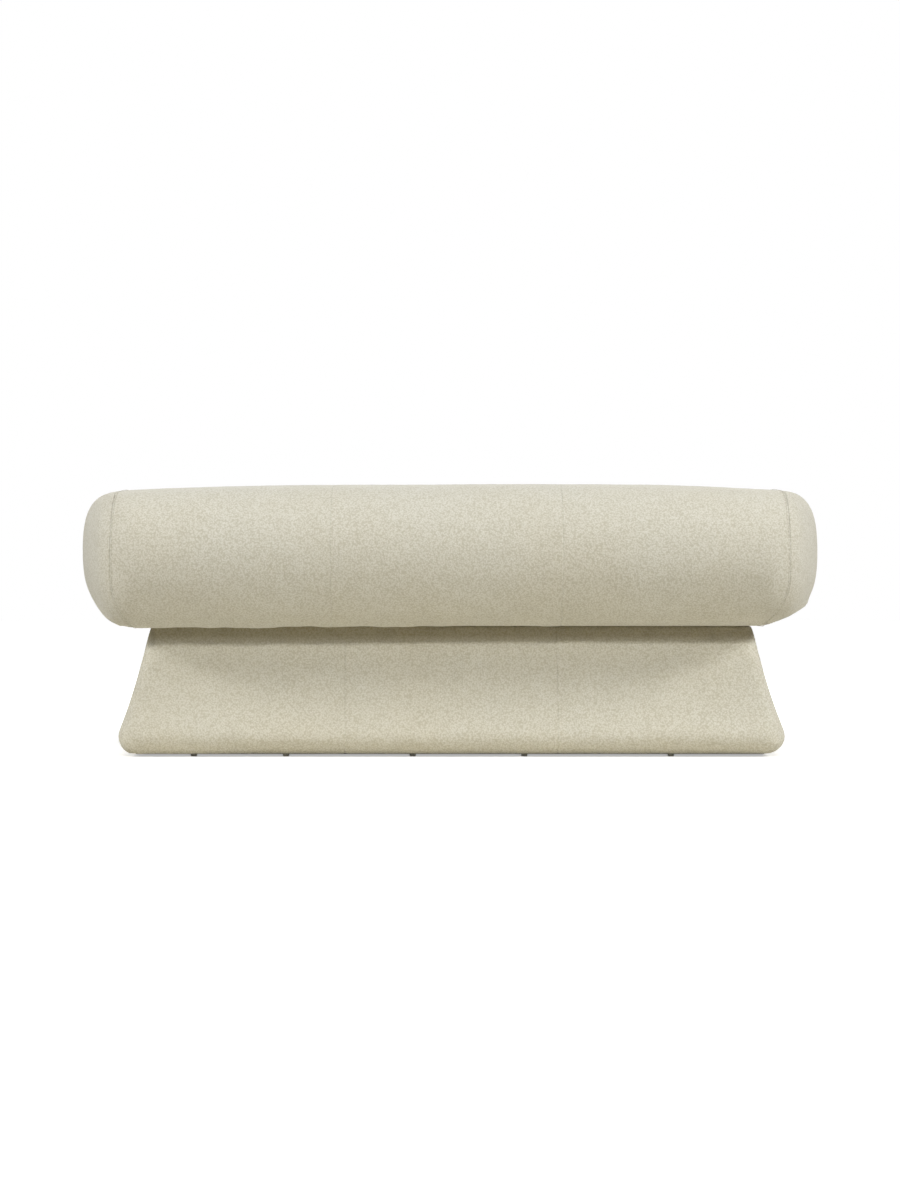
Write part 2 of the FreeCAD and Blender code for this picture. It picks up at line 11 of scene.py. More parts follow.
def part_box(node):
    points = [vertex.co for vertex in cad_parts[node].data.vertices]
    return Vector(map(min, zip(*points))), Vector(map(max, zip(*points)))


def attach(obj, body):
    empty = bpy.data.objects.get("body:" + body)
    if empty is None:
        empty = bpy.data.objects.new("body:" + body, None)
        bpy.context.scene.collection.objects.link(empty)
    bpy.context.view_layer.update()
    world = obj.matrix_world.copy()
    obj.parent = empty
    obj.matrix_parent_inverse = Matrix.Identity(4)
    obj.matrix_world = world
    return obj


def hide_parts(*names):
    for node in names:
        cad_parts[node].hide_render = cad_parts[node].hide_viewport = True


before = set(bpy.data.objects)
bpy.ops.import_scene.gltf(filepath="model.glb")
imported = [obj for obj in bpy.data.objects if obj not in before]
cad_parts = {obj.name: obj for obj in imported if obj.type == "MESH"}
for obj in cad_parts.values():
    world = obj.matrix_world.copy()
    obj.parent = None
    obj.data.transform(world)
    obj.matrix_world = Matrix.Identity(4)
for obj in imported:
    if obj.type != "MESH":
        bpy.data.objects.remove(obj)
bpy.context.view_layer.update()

bl_info = {
    "name": "Backless Divan",
    "version": (1, 0, 0),
    "blender": (4, 5, 0),
    "location": "View3D > Sidebar > Divan",
    "description": "Dresses a divan's frame with an upholstered roll and a flared plinth",
    "category": "Object",
}

# Metres throughout. X runs along the roll, the front faces -Y, and the floor is at Z = 0.


def size(name, description, default):
    """A length that a user may change."""
    return FloatProperty(
        name=name, description=description, default=default,
        unit="LENGTH", subtype="DISTANCE", precision=4,
    )


def tint(name, description, default):
    """A colour that a user may change, as it is seen on a screen."""
    return FloatVectorProperty(
        name=name, description=description, default=default,
        subtype="COLOR_GAMMA", size=3, min=0, max=1,
    )


class RollSizes(PropertyGroup):
    """Sizes of the roll, over its cloth."""

    length: size("Length", "From tip to tip of the domed ends", 1.303)
    depth: size("Depth", "From the front nose to the back nose", 0.620)
    underside: size("Underside", "Height of the roll's flat underside", 0.225)
    top: size("Top", "Height of the middle of the roll's top", 0.4755)
    crown_rise: size("Crown rise", "How far the top rises between the noses", 0.009)
    end_drop: size("End drop", "How far the top falls from the middle to the ends", 0.0115)
    plan_r: size("Dome radius from above", "Curve of the ends seen from above", 0.680)
    corner_r: size("Corner radius from above", "Corners between the sides and the ends", 0.079)
    dome_r: size("Dome radius from the front", "Curve of the ends seen from the front", 0.258)
    dome_z: size("Dome height", "Height of the ends' tips", 0.3545)
    top_r: size("Upper corner radius", "Corners between the top and the ends", 0.079)
    bottom_r: size("Lower corner radius", "Corners between the underside and the ends", 0.110)
    cap_seam: size("End seam", "Place of the end caps' seams, from the middle", 0.574)
    seam_lean: size("End seam lean", "How far the end seams run in under the roll", 0.036)
    left_seam: size("Left seam", "Place of the sleeve's left seam, from the middle", 0.2015)
    right_seam: size("Right seam", "Place of the sleeve's right seam, from the middle", 0.190)
    cell: size("Mesh cell", "Length of a mesh cell along the roll", 0.0055)


class PlinthSizes(PropertyGroup):
    """Sizes of the plinth, over its cloth."""

    underside: size("Underside", "Height of the plinth's lower edge", 0.005)
    top: size("Top", "Height of the plinth's top", 0.225)
    bottom_length: size("Length at the foot", "Length of the plinth at its foot", 1.171)
    bottom_depth: size("Depth at the foot", "Depth of the plinth at its foot", 0.466)
    top_length: size("Length at the top", "Length of the plinth under the roll", 1.041)
    top_depth: size("Depth at the top", "Depth of the plinth under the roll", 0.336)
    bottom_corner_r: size("Corner radius at the foot", "Upright corners at the foot", 0.040)
    top_corner_r: size("Corner radius at the top", "Upright corners at the top", 0.020)
    edge_r: size("Lower edge radius", "Rounding of the padded lower edge", 0.032)
    upper_edge_r: size("Upper edge radius", "Rounding of the edge under the roll", 0.005)
    turned_under: size("Turned under", "Cloth turned under the lower edge", 0.068)
    turned_over: size("Turned over", "Cloth turned over the deck", 0.038)
    seam: size("Front seams", "Place of the front and back seams, from the middle", 0.183)
    end_seam: size("End seams", "Distance of the end seams from the front and back walls", 0.042)
    padding: size("Padding", "Thickness of the cloth with its padding", 0.0090)
    cell: size("Mesh cell", "Length of a mesh cell on the walls", 0.0055)


class SeamSizes(PropertyGroup):
    """Sizes of the sewn seams."""

    dip: size("Dip", "Depth of the groove at an end seam", 0.0022)
    dip_reach: size("Dip reach", "Half width of the groove", 0.0024)
    pull: size("Pull", "How far a seam draws the cloth in beside it", 0.0009)
    pull_reach: size("Pull reach", "How far beside a seam the cloth is drawn in", 0.011)
    pucker: size("Pucker", "Depth of the small puckers along a seam", 0.0005)
    pucker_pitch: size("Pucker pitch", "Spacing of the puckers", 0.013)
    allowance: size("Allowance", "Cloth turned in at a seam", 0.007)
    stitch: size("Stitch length", "Length of one stitch", 0.0052)
    stitch_pitch: size("Stitch pitch", "Spacing of the stitches", 0.0076)
    thread_r: size("Thread radius", "Radius of the sewing thread", 0.00045)
    row_offset: size("Row offset", "Distance of the stitch row from its seam", 0.0042)


class LieSizes(PropertyGroup):
    """How far the real cloth lies off its even form."""

    right_tuck: size("Right tuck", "How far the roll's right end is drawn up below", 0.0065)
    left_tuck: size("Left tuck", "How far the roll's left end is drawn up below", 0.0030)
    tilt: size("Tilt", "How much higher the roll's lower edge is at its right", 0.0048)
    sag: size("Sag", "How far the roll's lower edge hangs at its left", 0.0036)
    wave: size("Wave", "Height of the long waves of the roll's lower edge", 0.0022)
    ripple: size("Ripple", "Height of the short waves of the roll's lower edge", 0.0008)
    top_rise: size("Top rise", "How much higher the roll's top is at its right", 0.0016)
    top_dent: size("Top dent", "How far the roll's top dips left of the middle", 0.0012)
    right_bulge: size("Right bulge", "How far the right end stands out near the underside", 0.0075)
    left_bulge: size("Left bulge", "How far the left end stands out near the underside", 0.0035)
    roll_uneven: size("Roll unevenness", "Broad unevenness of the roll", 0.0009)
    roll_fine: size("Roll fine unevenness", "Fine unevenness of the roll", 0.0004)
    pucker_x: size("Pucker place", "Place of the tight stitch along the roll", -0.5785)
    pucker_z: size("Pucker height", "Height of the tight stitch", 0.2576)
    pucker_depth: size("Pucker depth", "How far the tight stitch draws the cloth in", 0.0022)
    pucker_reach: size("Pucker reach", "How far round the tight stitch the cloth is drawn", 0.0040)
    foot_droop: size("Foot droop", "How far the plinth's left foot hangs", 0.0022)
    foot_wave: size("Foot wave", "Height of the waves of the plinth's lower edge", 0.0006)
    wall_hollow: size("Wall hollow", "How far the plinth's walls are hollow", 0.0022)
    plinth_shift: size("Plinth shift", "How far the plinth stands right of the middle", 0.0022)
    plinth_uneven: size("Plinth unevenness", "Broad unevenness of the plinth", 0.0010)
    plinth_fine: size("Plinth fine unevenness", "Fine unevenness of the plinth", 0.0004)


class DivanColours(PropertyGroup):
    """Colours of the cloth and the other finishes."""

    cloth: tint("Cloth", "Main colour of the cloth", (0.845, 0.836, 0.788))
    cloth_shade: tint("Cloth shade", "Colour down between the loops", (0.785, 0.77, 0.706))
    cloth_loop: tint("Cloth loops", "Colour on the tops of the loops", (0.88, 0.872, 0.835))
    # Painted shade: this tint darkens the plinth's cloth close under the roll, where the roll's
    # shade falls.
    painted_crease_shade: tint("Painted crease shade", "Tint of the cloth close under the roll", (0.83, 0.805, 0.75))
    thread: tint("Thread", "Colour of the sewing thread", (0.74, 0.72, 0.64))
    dust_cover: tint("Dust cover", "Colour of the cloth under the plinth", (0.20, 0.20, 0.19))
    beech: tint("Beech", "Colour of the solid wood", (0.78, 0.62, 0.44))
    birch: tint("Birch", "Colour of the plywood", (0.84, 0.72, 0.55))
    spring: tint("Spring wire", "Colour of the springs and their clips", (0.32, 0.32, 0.34))
    zinc: tint("Zinc", "Colour of the plated fasteners", (0.78, 0.79, 0.80))
    glide: tint("Glide", "Colour of the nylon glides", (0.62, 0.62, 0.55))


# Forms


class RollForm:
    """The roll's outside: flat below, with two round noses, a crown and domed ends."""

    # Mesh cells in a quarter of the section, and by half how many cells the level sides of an end
    # cap's patch are longer than that, and its upright sides shorter.
    QUARTER = 68
    SQUARE_CORNER = 15
    # How suddenly the top falls towards the ends, and how the end seams lean in below a height.
    FALL_POWER = 2.6
    LEAN_TOP = 0.300
    LEAN_POWER = 2.2

    def __init__(self, roll):
        self.roll = roll
        self.half = roll.length / 2
        self.count = 4 * self.QUARTER
        self.above = roll.top - roll.end_drop - roll.dome_z
        self.below = roll.dome_z - roll.underside
        self.drop_start = self.corner_start(self.above, roll.top_r, roll.dome_r)

    def corner_start(self, side, corner_r, arc_r):
        """Where, along the roll, a side starts to turn into the domed end."""
        return self.half - arc_r + math.sqrt((arc_r - corner_r) ** 2 - (side - corner_r) ** 2)

    def outline(self, reach, side, corner_r, arc_r):
        """How far the outline stands from the end's middle line at a distance along the roll."""
        arc_x = self.half - arc_r
        corner_x = self.corner_start(side, corner_r, arc_r)
        touch_x = arc_x + (corner_x - arc_x) * arc_r / (arc_r - corner_r)
        if reach <= corner_x:
            return side
        if reach <= touch_x:
            return side - corner_r + math.sqrt(corner_r ** 2 - (reach - corner_x) ** 2)
        return math.sqrt(max(0.0, arc_r ** 2 - (reach - arc_x) ** 2))

    def half_depth(self, reach):
        """How far the outside stands from the roll's middle, seen from above."""
        return self.outline(reach, self.roll.depth / 2, self.roll.corner_r, self.roll.plan_r)

    def point(self, x, turn):
        """A point of the outside at a distance along the roll and a step round its section."""
        roll = self.roll
        reach = min(abs(x), self.half - 1e-7)
        depth = self.half_depth(reach)
        fall = roll.end_drop * (1 - min(1.0, reach / self.drop_start) ** self.FALL_POWER)
        high = roll.dome_z + self.outline(reach, self.above, roll.top_r, roll.dome_r) + fall
        low = roll.dome_z - self.outline(reach, self.below, roll.bottom_r, roll.dome_r)
        crown = roll.crown_rise * (depth / (roll.depth / 2)) ** 2
        nose_r = (high - low - crown) / 2
        nose_y = max(1e-6, depth - nose_r)
        nose_z = low + nose_r
        rise = high - nose_z
        crown_r = (nose_y ** 2 + rise ** 2 - nose_r ** 2) / (2 * (rise - nose_r))
        lean = math.atan2(nose_y, nose_z - (high - crown_r))
        step = (turn % self.count) / self.QUARTER
        side = 1.0
        if step < 2:
            side = -1.0
        else:
            step = 4 - step
        if step < 0.5:
            y, z = nose_y * step / 0.5, low
        elif step < 1.5:
            angle = math.pi + (lean - math.pi) * (step - 0.5)
            y, z = nose_y + nose_r * math.sin(angle), nose_z + nose_r * math.cos(angle)
        else:
            angle = lean * (2 - step) / 0.5
            y, z = crown_r * math.sin(angle), high - crown_r + crown_r * math.cos(angle)
        return Vector((x, side * y, z))

    def leaned(self, x, turn, share):
        """A point of the outside, moved in along the roll as the end seams are below."""
        roll = self.roll
        z = self.point(x, turn).z
        low_share = max(0.0, (self.LEAN_TOP - z) / (self.LEAN_TOP - roll.underside))
        shift = roll.seam_lean * min(1.0, low_share) ** self.LEAN_POWER * share
        return self.point(x - math.copysign(shift, x), turn)


class PlinthForm:
    """The plinth's outside: four leaning walls, rounded corners and a round lower edge."""

    # Mesh cells round an upright corner, and beside it on the end wall.
    CORNER = 10
    BESIDE = 3
    # Mesh rings under the plinth, round its lower edge, round its upper edge and on its deck.
    UNDER, LOWER_EDGE, UPPER_EDGE, DECK = 5, 10, 4, 7

    def __init__(self, plinth):
        self.plinth = plinth
        height = plinth.top - plinth.underside
        self.height = height
        self.slope_x = (plinth.bottom_length - plinth.top_length) / 2 / height
        self.slope_y = (plinth.bottom_depth - plinth.top_depth) / 2 / height
        self.lean = math.atan(self.slope_x)
        self.rim_top = plinth.underside + plinth.edge_r * (1 + math.sin(self.lean))
        self.sides = self.side_marks()

    def side_marks(self):
        """Counts of cells along the outline, from the front's middle round to it again."""
        plinth = self.plinth
        middle = round(plinth.seam / plinth.cell)
        wing = plinth.bottom_length / 2 - plinth.seam - plinth.bottom_corner_r
        outer = round(wing / plinth.cell)
        end = round((plinth.bottom_depth - 2 * plinth.end_seam) / plinth.cell)
        return middle, outer, end

    def levels(self):
        """Height and draw-in of each ring of the mesh, from under the plinth to its deck."""
        plinth = self.plinth
        edge_r = plinth.edge_r
        rings = []
        under = plinth.turned_under - self.slope_x * (self.rim_top - plinth.underside)
        flat_start = edge_r * math.cos(self.lean)
        for i in range(self.UNDER):
            rings.append((plinth.underside, under + (flat_start - under) * i / self.UNDER))
        for i in range(self.LOWER_EDGE):
            angle = -math.pi / 2 + (self.lean + math.pi / 2) * i / self.LOWER_EDGE
            z = self.rim_top - edge_r * (math.sin(self.lean) - math.sin(angle))
            rings.append((z, edge_r * (math.cos(self.lean) - math.cos(angle))))
        wall_top = plinth.top - plinth.upper_edge_r
        count = round((wall_top - self.rim_top) / plinth.cell)
        for i in range(count):
            rings.append((self.rim_top + (wall_top - self.rim_top) * i / count, 0.0))
        for i in range(self.UPPER_EDGE):
            angle = math.pi / 2 * i / self.UPPER_EDGE
            z = wall_top + plinth.upper_edge_r * math.sin(angle)
            rings.append((z, plinth.upper_edge_r * (1 - math.cos(angle))))
        deck = plinth.turned_over - plinth.upper_edge_r
        for i in range(self.DECK):
            rings.append((plinth.top, plinth.upper_edge_r + deck * i / (self.DECK - 1)))
        return rings

    def outline(self, z, drawn):
        """Half length, half depth and corner radius of the plinth at a height."""
        plinth = self.plinth
        level = max(z, self.rim_top)
        half_x = plinth.bottom_length / 2 - self.slope_x * (level - plinth.underside) - drawn
        half_y = plinth.bottom_depth / 2 - self.slope_y * (level - plinth.underside) - drawn
        share = (level - plinth.underside) / self.height
        corner = plinth.bottom_corner_r + (plinth.top_corner_r - plinth.bottom_corner_r) * share
        return half_x, half_y, max(0.002, corner - drawn)

    def quarter(self, z, drawn):
        """Points from the front's middle to the right end's middle line, at a height."""
        plinth = self.plinth
        middle, outer, end = self.sides
        half_x, half_y, corner = self.outline(z, drawn)
        straight = half_x - corner
        points = [Vector((plinth.seam * i / middle, -half_y, z)) for i in range(middle)]
        run = straight - plinth.seam
        points += [Vector((plinth.seam + run * i / outer, -half_y, z)) for i in range(outer)]
        for i in range(self.CORNER):
            angle = math.pi / 2 * i / self.CORNER
            x = straight + corner * math.sin(angle)
            points.append(Vector((x, corner - half_y - corner * math.cos(angle), z)))
        start = corner - half_y
        stop = min(-1e-4, max(start + 0.001, plinth.end_seam - half_y))
        for i in range(self.BESIDE):
            points.append(Vector((half_x, start + (stop - start) * i / self.BESIDE, z)))
        half_end = end / 2
        for i in range(int(half_end) + 1):
            points.append(Vector((half_x, stop * (1 - i / half_end), z)))
        return points

    def ring(self, z, drawn):
        """The closed outline at a height, counted from the front's middle towards +X."""
        right = self.quarter(z, drawn)
        back = [Vector((p.x, -p.y, p.z)) for p in reversed(right[:-1])]
        half = right + back
        left = [Vector((-p.x, p.y, p.z)) for p in reversed(half[1:-1])]
        return half + left


# Mesh work


def laid_grid(bm, columns, rows, place, mark):
    """Add a grid of faces, each corner put by one rule and each column marked by another."""
    made = bmesh.ops.create_grid(bm, x_segments=columns, y_segments=rows, size=0.5)
    for face in {f for v in made["verts"] for f in v.link_faces}:
        face.material_index = mark(int((face.calc_center_median().x + 0.5) * columns))
    for v in made["verts"]:
        column = round((v.co.x + 0.5) * columns)
        row = round((v.co.y + 0.5) * rows)
        v.co = place(column, row)


def join_lengths(bm):
    """Join the lengths of cloth where they touch, and turn all their faces outwards."""
    bmesh.ops.remove_doubles(bm, verts=bm.verts, dist=1e-5)
    bmesh.ops.recalc_face_normals(bm, faces=bm.faces)
    bm.normal_update()
    if sum(f.normal.dot(f.calc_center_median()) * f.calc_area() for f in bm.faces) < 0:
        bmesh.ops.reverse_faces(bm, faces=bm.faces)
        bm.normal_update()


def sewn_rings(bm):
    """The points where two lengths of cloth meet, and the marks of the two."""
    rings = {}
    for v in bm.verts:
        marks = {f.material_index for f in v.link_faces}
        if len(marks) > 1:
            rings[v] = tuple(sorted(marks))
    return rings


def smooth_step(low, high, value):
    """Nought before a run, one past it, and a smooth rise between."""
    share = min(1.0, max(0.0, (value - low) / (high - low)))
    return share * share * (3 - 2 * share)


def hump(away, reach):
    """One at a place, and soon nought away from it."""
    return math.exp(-(away / reach) ** 2)


def wander(*place):
    """Noise round nought. A number added to a place only picks another part of it."""
    return noise.noise(Vector(place))


def new_piece(name, bm):
    """A new object at the origin."""
    mesh = bpy.data.meshes.new(name)
    bm.to_mesh(mesh)
    bm.free()
    piece = bpy.data.objects.new(name, mesh)
    bpy.context.scene.collection.objects.link(piece)
    return piece


def smooth_faces(piece):
    """Shade a piece as round."""
    for face in piece.data.polygons:
        face.use_smooth = True


CLOTH_SETTINGS = {
    "quality": 4,
    "mass": 0.35,
    "tension_stiffness": 14,
    "compression_stiffness": 14,
    "shear_stiffness": 6,
    "bending_stiffness": 6,
    "use_pressure": True,
    "shrink_min": -0.004,
}
EVENING_ROUNDS = 8


def fill_cover(piece, held, pressure, limit, frames):
    """Swell a sewn cover round its filling, and keep each point within a limit of its place."""
    mesh = piece.data
    groups = {}
    for index, weight in enumerate(held):
        groups.setdefault(round(weight, 2), []).append(index)
    sewn = piece.vertex_groups.new(name="sewn")
    for weight, members in groups.items():
        sewn.add(members, weight, "REPLACE")
    cloth = piece.modifiers.new("Filling", "CLOTH")
    settings = cloth.settings
    for name, value in CLOTH_SETTINGS.items():
        setattr(settings, name, value)
    settings.uniform_pressure_force = pressure
    settings.vertex_group_mass = "sewn"
    settings.effector_weights.gravity = 0
    cloth.collision_settings.use_collision = False
    cloth.point_cache.frame_start = 1
    cloth.point_cache.frame_end = frames
    scene = bpy.context.scene
    for number in range(1, frames + 1):
        scene.frame_set(number)
    swollen = piece.evaluated_get(bpy.context.evaluated_depsgraph_get()).data
    steps = [moved.co - rest.co for rest, moved in zip(mesh.vertices, swollen.vertices)]
    for rest, step in zip(mesh.vertices, evened(mesh, steps)):
        if step.length > 1e-9:
            rest.co += step * limit * math.tanh(step.length / limit) / step.length
    piece.modifiers.remove(cloth)
    piece.vertex_groups.remove(sewn)
    scene.frame_set(1)


def evened(mesh, steps):
    """Each point's step, shared with its neighbours so that no small ripples are left."""
    pairs = [tuple(edge.vertices) for edge in mesh.edges]
    for _ in range(EVENING_ROUNDS):
        total = [step.copy() for step in steps]
        count = [1] * len(steps)
        for first, second in pairs:
            total[first] += steps[second]
            total[second] += steps[first]
            count[first] += 1
            count[second] += 1
        steps = [step / share for step, share in zip(total, count)]
    return steps


def seam_tracks(rings):
    """Each seam's points in order, with the marks of its two lengths of cloth."""
    left = set(rings)
    tracks = []
    while left:
        start = min(left, key=lambda v: (v.co.x, v.co.y, v.co.z))
        left.discard(start)
        chain = [start]
        while True:
            last = chain[-1]
            near = [e.other_vert(last) for e in last.link_edges if e.other_vert(last) in left]
            near = [v for v in near if rings[v] == rings[start]]
            if not near:
                break
            best = min(near, key=lambda v: (v.co - last.co).length)
            left.discard(best)
            chain.append(best)
        tracks.append((rings[start], chain))
    return tracks


# Finer cells on each side of a seam, how many times the pull's reach it is felt, and the small
# beat of the puckers against the large one.
FINE_CUTS = 3
PULL_FELT = 4
FINE_BEAT = (0.6, 2.3)


def tuck_seams(bm, seams, strength):
    """Cut finer cells beside the seams, then draw the cloth down into them."""
    rings = sewn_rings(bm)
    across = [e for e in bm.edges if (e.verts[0] in rings) != (e.verts[1] in rings)]
    bmesh.ops.subdivide_edges(bm, edges=across, cuts=FINE_CUTS, use_grid_fill=True)
    rings = sewn_rings(bm)
    spots = []
    for marks, chain in seam_tracks(rings):
        along = 0.0
        for i, v in enumerate(chain):
            if i:
                along += (v.co - chain[i - 1].co).length
            spots.append((v.co.copy(), along, strength(marks)))
    tree = KDTree(len(spots))
    for i, spot in enumerate(spots):
        tree.insert(spot[0], i)
    tree.balance()
    bm.normal_update()
    moves = []
    fine, finer = FINE_BEAT
    for v in bm.verts:
        spot, i, away = tree.find(v.co)
        if away > PULL_FELT * seams.pull_reach:
            continue
        along, force = spots[i][1] / seams.pucker_pitch, spots[i][2]
        share = away / seams.pull_reach
        beat = wander(along, force * 7.3, 0.5) + fine * wander(along * finer, force * 3.1, 4.5)
        drawn = seams.dip * hump(away, seams.dip_reach)
        drawn += (seams.pull + seams.pucker * beat * (0.35 + share)) * math.exp(-share)
        moves.append((v, v.normal * (-drawn * force)))
    for v, move in moves:
        v.co += move


def filled_cover(name, bm, held, filling, seams, strength):
    """A cover after its filling has swelled it and its seams have drawn it in."""
    piece = new_piece(name, bm)
    fill_cover(piece, held, *filling)
    sewn = bmesh.new()
    sewn.from_mesh(piece.data)
    bpy.data.objects.remove(piece)
    tuck_seams(sewn, seams, strength)
    return sewn


def cut_panel(source, mark):
    """One length of cloth from the sewn cover."""
    bm = source.copy()
    bmesh.ops.delete(bm, geom=[f for f in bm.faces if f.material_index != mark], context="FACES")
    for face in bm.faces:
        face.material_index = 0
    bm.normal_update()
    return bm


# The two steps in which a seam edge is turned in, and how far it leans to its own side.
TURN_STEPS = (0.45, 0.55)
TURN_LEAN = 0.18


def turn_in(bm, allowance):
    """Turn a length's seam edges in, in two steps, and close it behind them."""
    centre = sum((f.calc_center_median() for f in bm.faces), Vector()) / len(bm.faces)
    edges = [e for e in bm.edges if e.is_boundary]
    normals = {v: v.normal.copy() for e in edges for v in e.verts}
    for share in TURN_STEPS:
        made = bmesh.ops.extrude_edge_only(bm, edges=edges)["geom"]
        turned = {}
        for v in (g for g in made if isinstance(g, bmesh.types.BMVert)):
            old = next(e.other_vert(v) for e in v.link_edges if e.other_vert(v) in normals)
            turned[v] = normals[old]
            inward = math.copysign(TURN_LEAN, centre.x - v.co.x)
            v.co += (Vector((inward, 0, 0)) - normals[old]) * allowance * share
        normals = turned
        edges = [g for g in made if isinstance(g, bmesh.types.BMEdge) and g.is_boundary]
    bmesh.ops.holes_fill(bm, edges=edges, sides=0)


# Finishes


class NodeSheet:
    """Adds nodes to a material or world, with their values and links."""

    def __init__(self, tree):
        self.tree = tree
        tree.nodes.clear()

    def add(self, kind, links=None, **values):
        """One node. Values named with in_ go to sockets, and the others to the node itself."""
        made = self.tree.nodes.new(kind)
        for name, value in values.items():
            if name.startswith("in_"):
                made.inputs[name[3:].replace("_", " ")].default_value = value
            else:
                setattr(made, name, value)
        for socket, source in (links or {}).items():
            self.tree.links.new(source, made.inputs[socket])
        return made

    def ramp(self, source, stops):
        """Colours that follow a number, each from its own stop."""
        made = self.add("ShaderNodeValToRGB", {"Fac": source})
        colours = made.color_ramp.elements
        while len(colours) < len(stops):
            colours.new(0.5)
        for stop, (place, colour) in zip(colours, stops):
            stop.position = place
            stop.color = (*colour, 1)
        return made.outputs["Color"]

    def tinted(self, first, second):
        """One colour tinted by another."""
        made = self.add(
            "ShaderNodeMix", {6: first, 7: second}, data_type="RGBA", blend_type="MULTIPLY",
        )
        made.inputs[0].default_value = 1.0
        return made.outputs[2]

    def sum(self, kind, first, second):
        """Arithmetic on two numbers or sockets."""
        made = self.add("ShaderNodeMath", operation=kind)
        for socket, value in ((0, first), (1, second)):
            if isinstance(value, bpy.types.NodeSocket):
                self.tree.links.new(value, made.inputs[socket])
            else:
                made.inputs[socket].default_value = value
        return made.outputs[0]

    def place(self):
        """Places on the piece, in metres."""
        return self.add("ShaderNodeTexCoord").outputs["Object"]

    def noise(self, place, scale, detail=2.0, roughness=0.5, distortion=0.0):
        """Cloudy values, with a number of clouds to a metre."""
        made = self.add(
            "ShaderNodeTexNoise", {"Vector": place},
            in_Scale=scale, in_Detail=detail, in_Roughness=roughness, in_Distortion=distortion,
        )
        return made.outputs["Fac"]

    def bump(self, height, strength, distance, under=None):
        """Small relief, on other relief if given."""
        links = {"Height": height} if under is None else {"Height": height, "Normal": under}
        made = self.add("ShaderNodeBump", links, in_Strength=strength, in_Distance=distance)
        return made.outputs[0]

    def finish(self, links, **values):
        """The shader of a finish, from its sockets and values."""
        made = self.add("ShaderNodeBsdfPrincipled", links, **values)
        self.add("ShaderNodeOutputMaterial", {"Surface": made.outputs[0]})


def linear(colour):
    """A screen colour as the light that the shaders work with."""
    return tuple(c / 12.92 if c <= 0.04045 else ((c + 0.055) / 1.055) ** 2.4 for c in colour)


def toned(colour, share):
    """A colour made darker or lighter."""
    return tuple(min(1.0, share * part) for part in colour)


def grey(value):
    """One value as a colour, for a ramp."""
    return (value, value, value)


def new_material(name):
    """A finish and the sheet on which its nodes are laid."""
    material = bpy.data.materials.new(name)
    material.use_nodes = True
    return material, NodeSheet(material.node_tree)


# The painted shade under the roll starts this far below the plinth's top, and deepens over this
# far.
PAINTED_SHADE_START = 0.031
PAINTED_SHADE_RUN = 0.020
# How many loops of the cloth lie side by side in a metre, and how far they stray from even rows.
LOOPS_PER_METRE = 345.0
LOOP_WANDER = 0.0032


def boucle_material(name, colours, painted_shade_from=None):
    """Looped wool: round loops of uneven size, darker between them, and with painted shade above a
    height, if given.
    """
    material, sheet = new_material(name)
    place = sheet.place()
    bend = sheet.add(
        "ShaderNodeTexNoise", {"Vector": place}, in_Scale=240.0, in_Detail=1.0, in_Roughness=0.5,
    )
    bent = sheet.add("ShaderNodeVectorMath", {0: bend.outputs["Color"]}, operation="MULTIPLY_ADD")
    bent.inputs[1].default_value = (LOOP_WANDER, LOOP_WANDER, LOOP_WANDER)
    sheet.tree.links.new(place, bent.inputs[2])
    bent = bent.outputs[0]
    loops = sheet.add(
        "ShaderNodeTexVoronoi", {"Vector": bent},
        feature="SMOOTH_F1", in_Scale=LOOPS_PER_METRE, in_Smoothness=0.35, in_Randomness=1.0,
    )
    ridges = sheet.sum("SUBTRACT", sheet.noise(bent, scale=380.0, detail=1.0), 0.5)
    curl = sheet.sum("MULTIPLY", sheet.sum("ABSOLUTE", ridges, 0.0), 5.0)
    fuzz = sheet.noise(place, scale=1500.0, roughness=0.6)
    height = sheet.sum("SUBTRACT", 1.0, loops.outputs["Distance"])
    height = sheet.sum("SUBTRACT", height, sheet.sum("MULTIPLY", curl, 0.25))
    height = sheet.sum("ADD", height, sheet.sum("MULTIPLY", fuzz, 0.18))
    shade = sheet.ramp(height, [
        (0.28, linear(colours.cloth_shade)),
        (0.56, linear(colours.cloth)),
        (0.86, linear(colours.cloth_loop)),
    ])
    cloudy = sheet.noise(place, scale=42.0, detail=3.0, roughness=0.6)
    drift = sheet.ramp(cloudy, [(0.30, (0.955, 0.95, 0.935)), (0.70, grey(1.0))])
    broad = sheet.noise(place, scale=5.0)
    warm = sheet.ramp(broad, [(0.35, (0.985, 0.975, 0.955)), (0.65, grey(1.0))])
    colour = sheet.tinted(sheet.tinted(shade, drift), warm)
    # Painted shade: above the given height the cloth is tinted darker, for the shade in the crease
    # under the roll.
    if painted_shade_from is not None:
        high = sheet.add("ShaderNodeSeparateXYZ", {0: place}).outputs["Z"]
        share = sheet.sum("MULTIPLY", sheet.sum("SUBTRACT", high, painted_shade_from), 1 / PAINTED_SHADE_RUN)
        painted_crease_shade = sheet.ramp(share, [(0.0, grey(1.0)), (0.75, linear(colours.painted_crease_shade))])
        colour = sheet.tinted(colour, painted_crease_shade)
    looped = sheet.bump(height, strength=0.35, distance=0.0010)
    streaks = sheet.add("ShaderNodeMapping", {"Vector": place}, in_Scale=(46.0, 3.0, 3.0))
    pulled = sheet.noise(streaks.outputs[0], scale=1.0)
    pull = sheet.bump(pulled, strength=0.25, distance=0.0015, under=looped)
    sheet.finish(
        {"Base Color": colour, "Normal": pull},
        in_Roughness=0.95, in_Sheen_Weight=0.22, in_Sheen_Roughness=0.55,
        in_Specular_IOR_Level=0.18,
    )
    return material


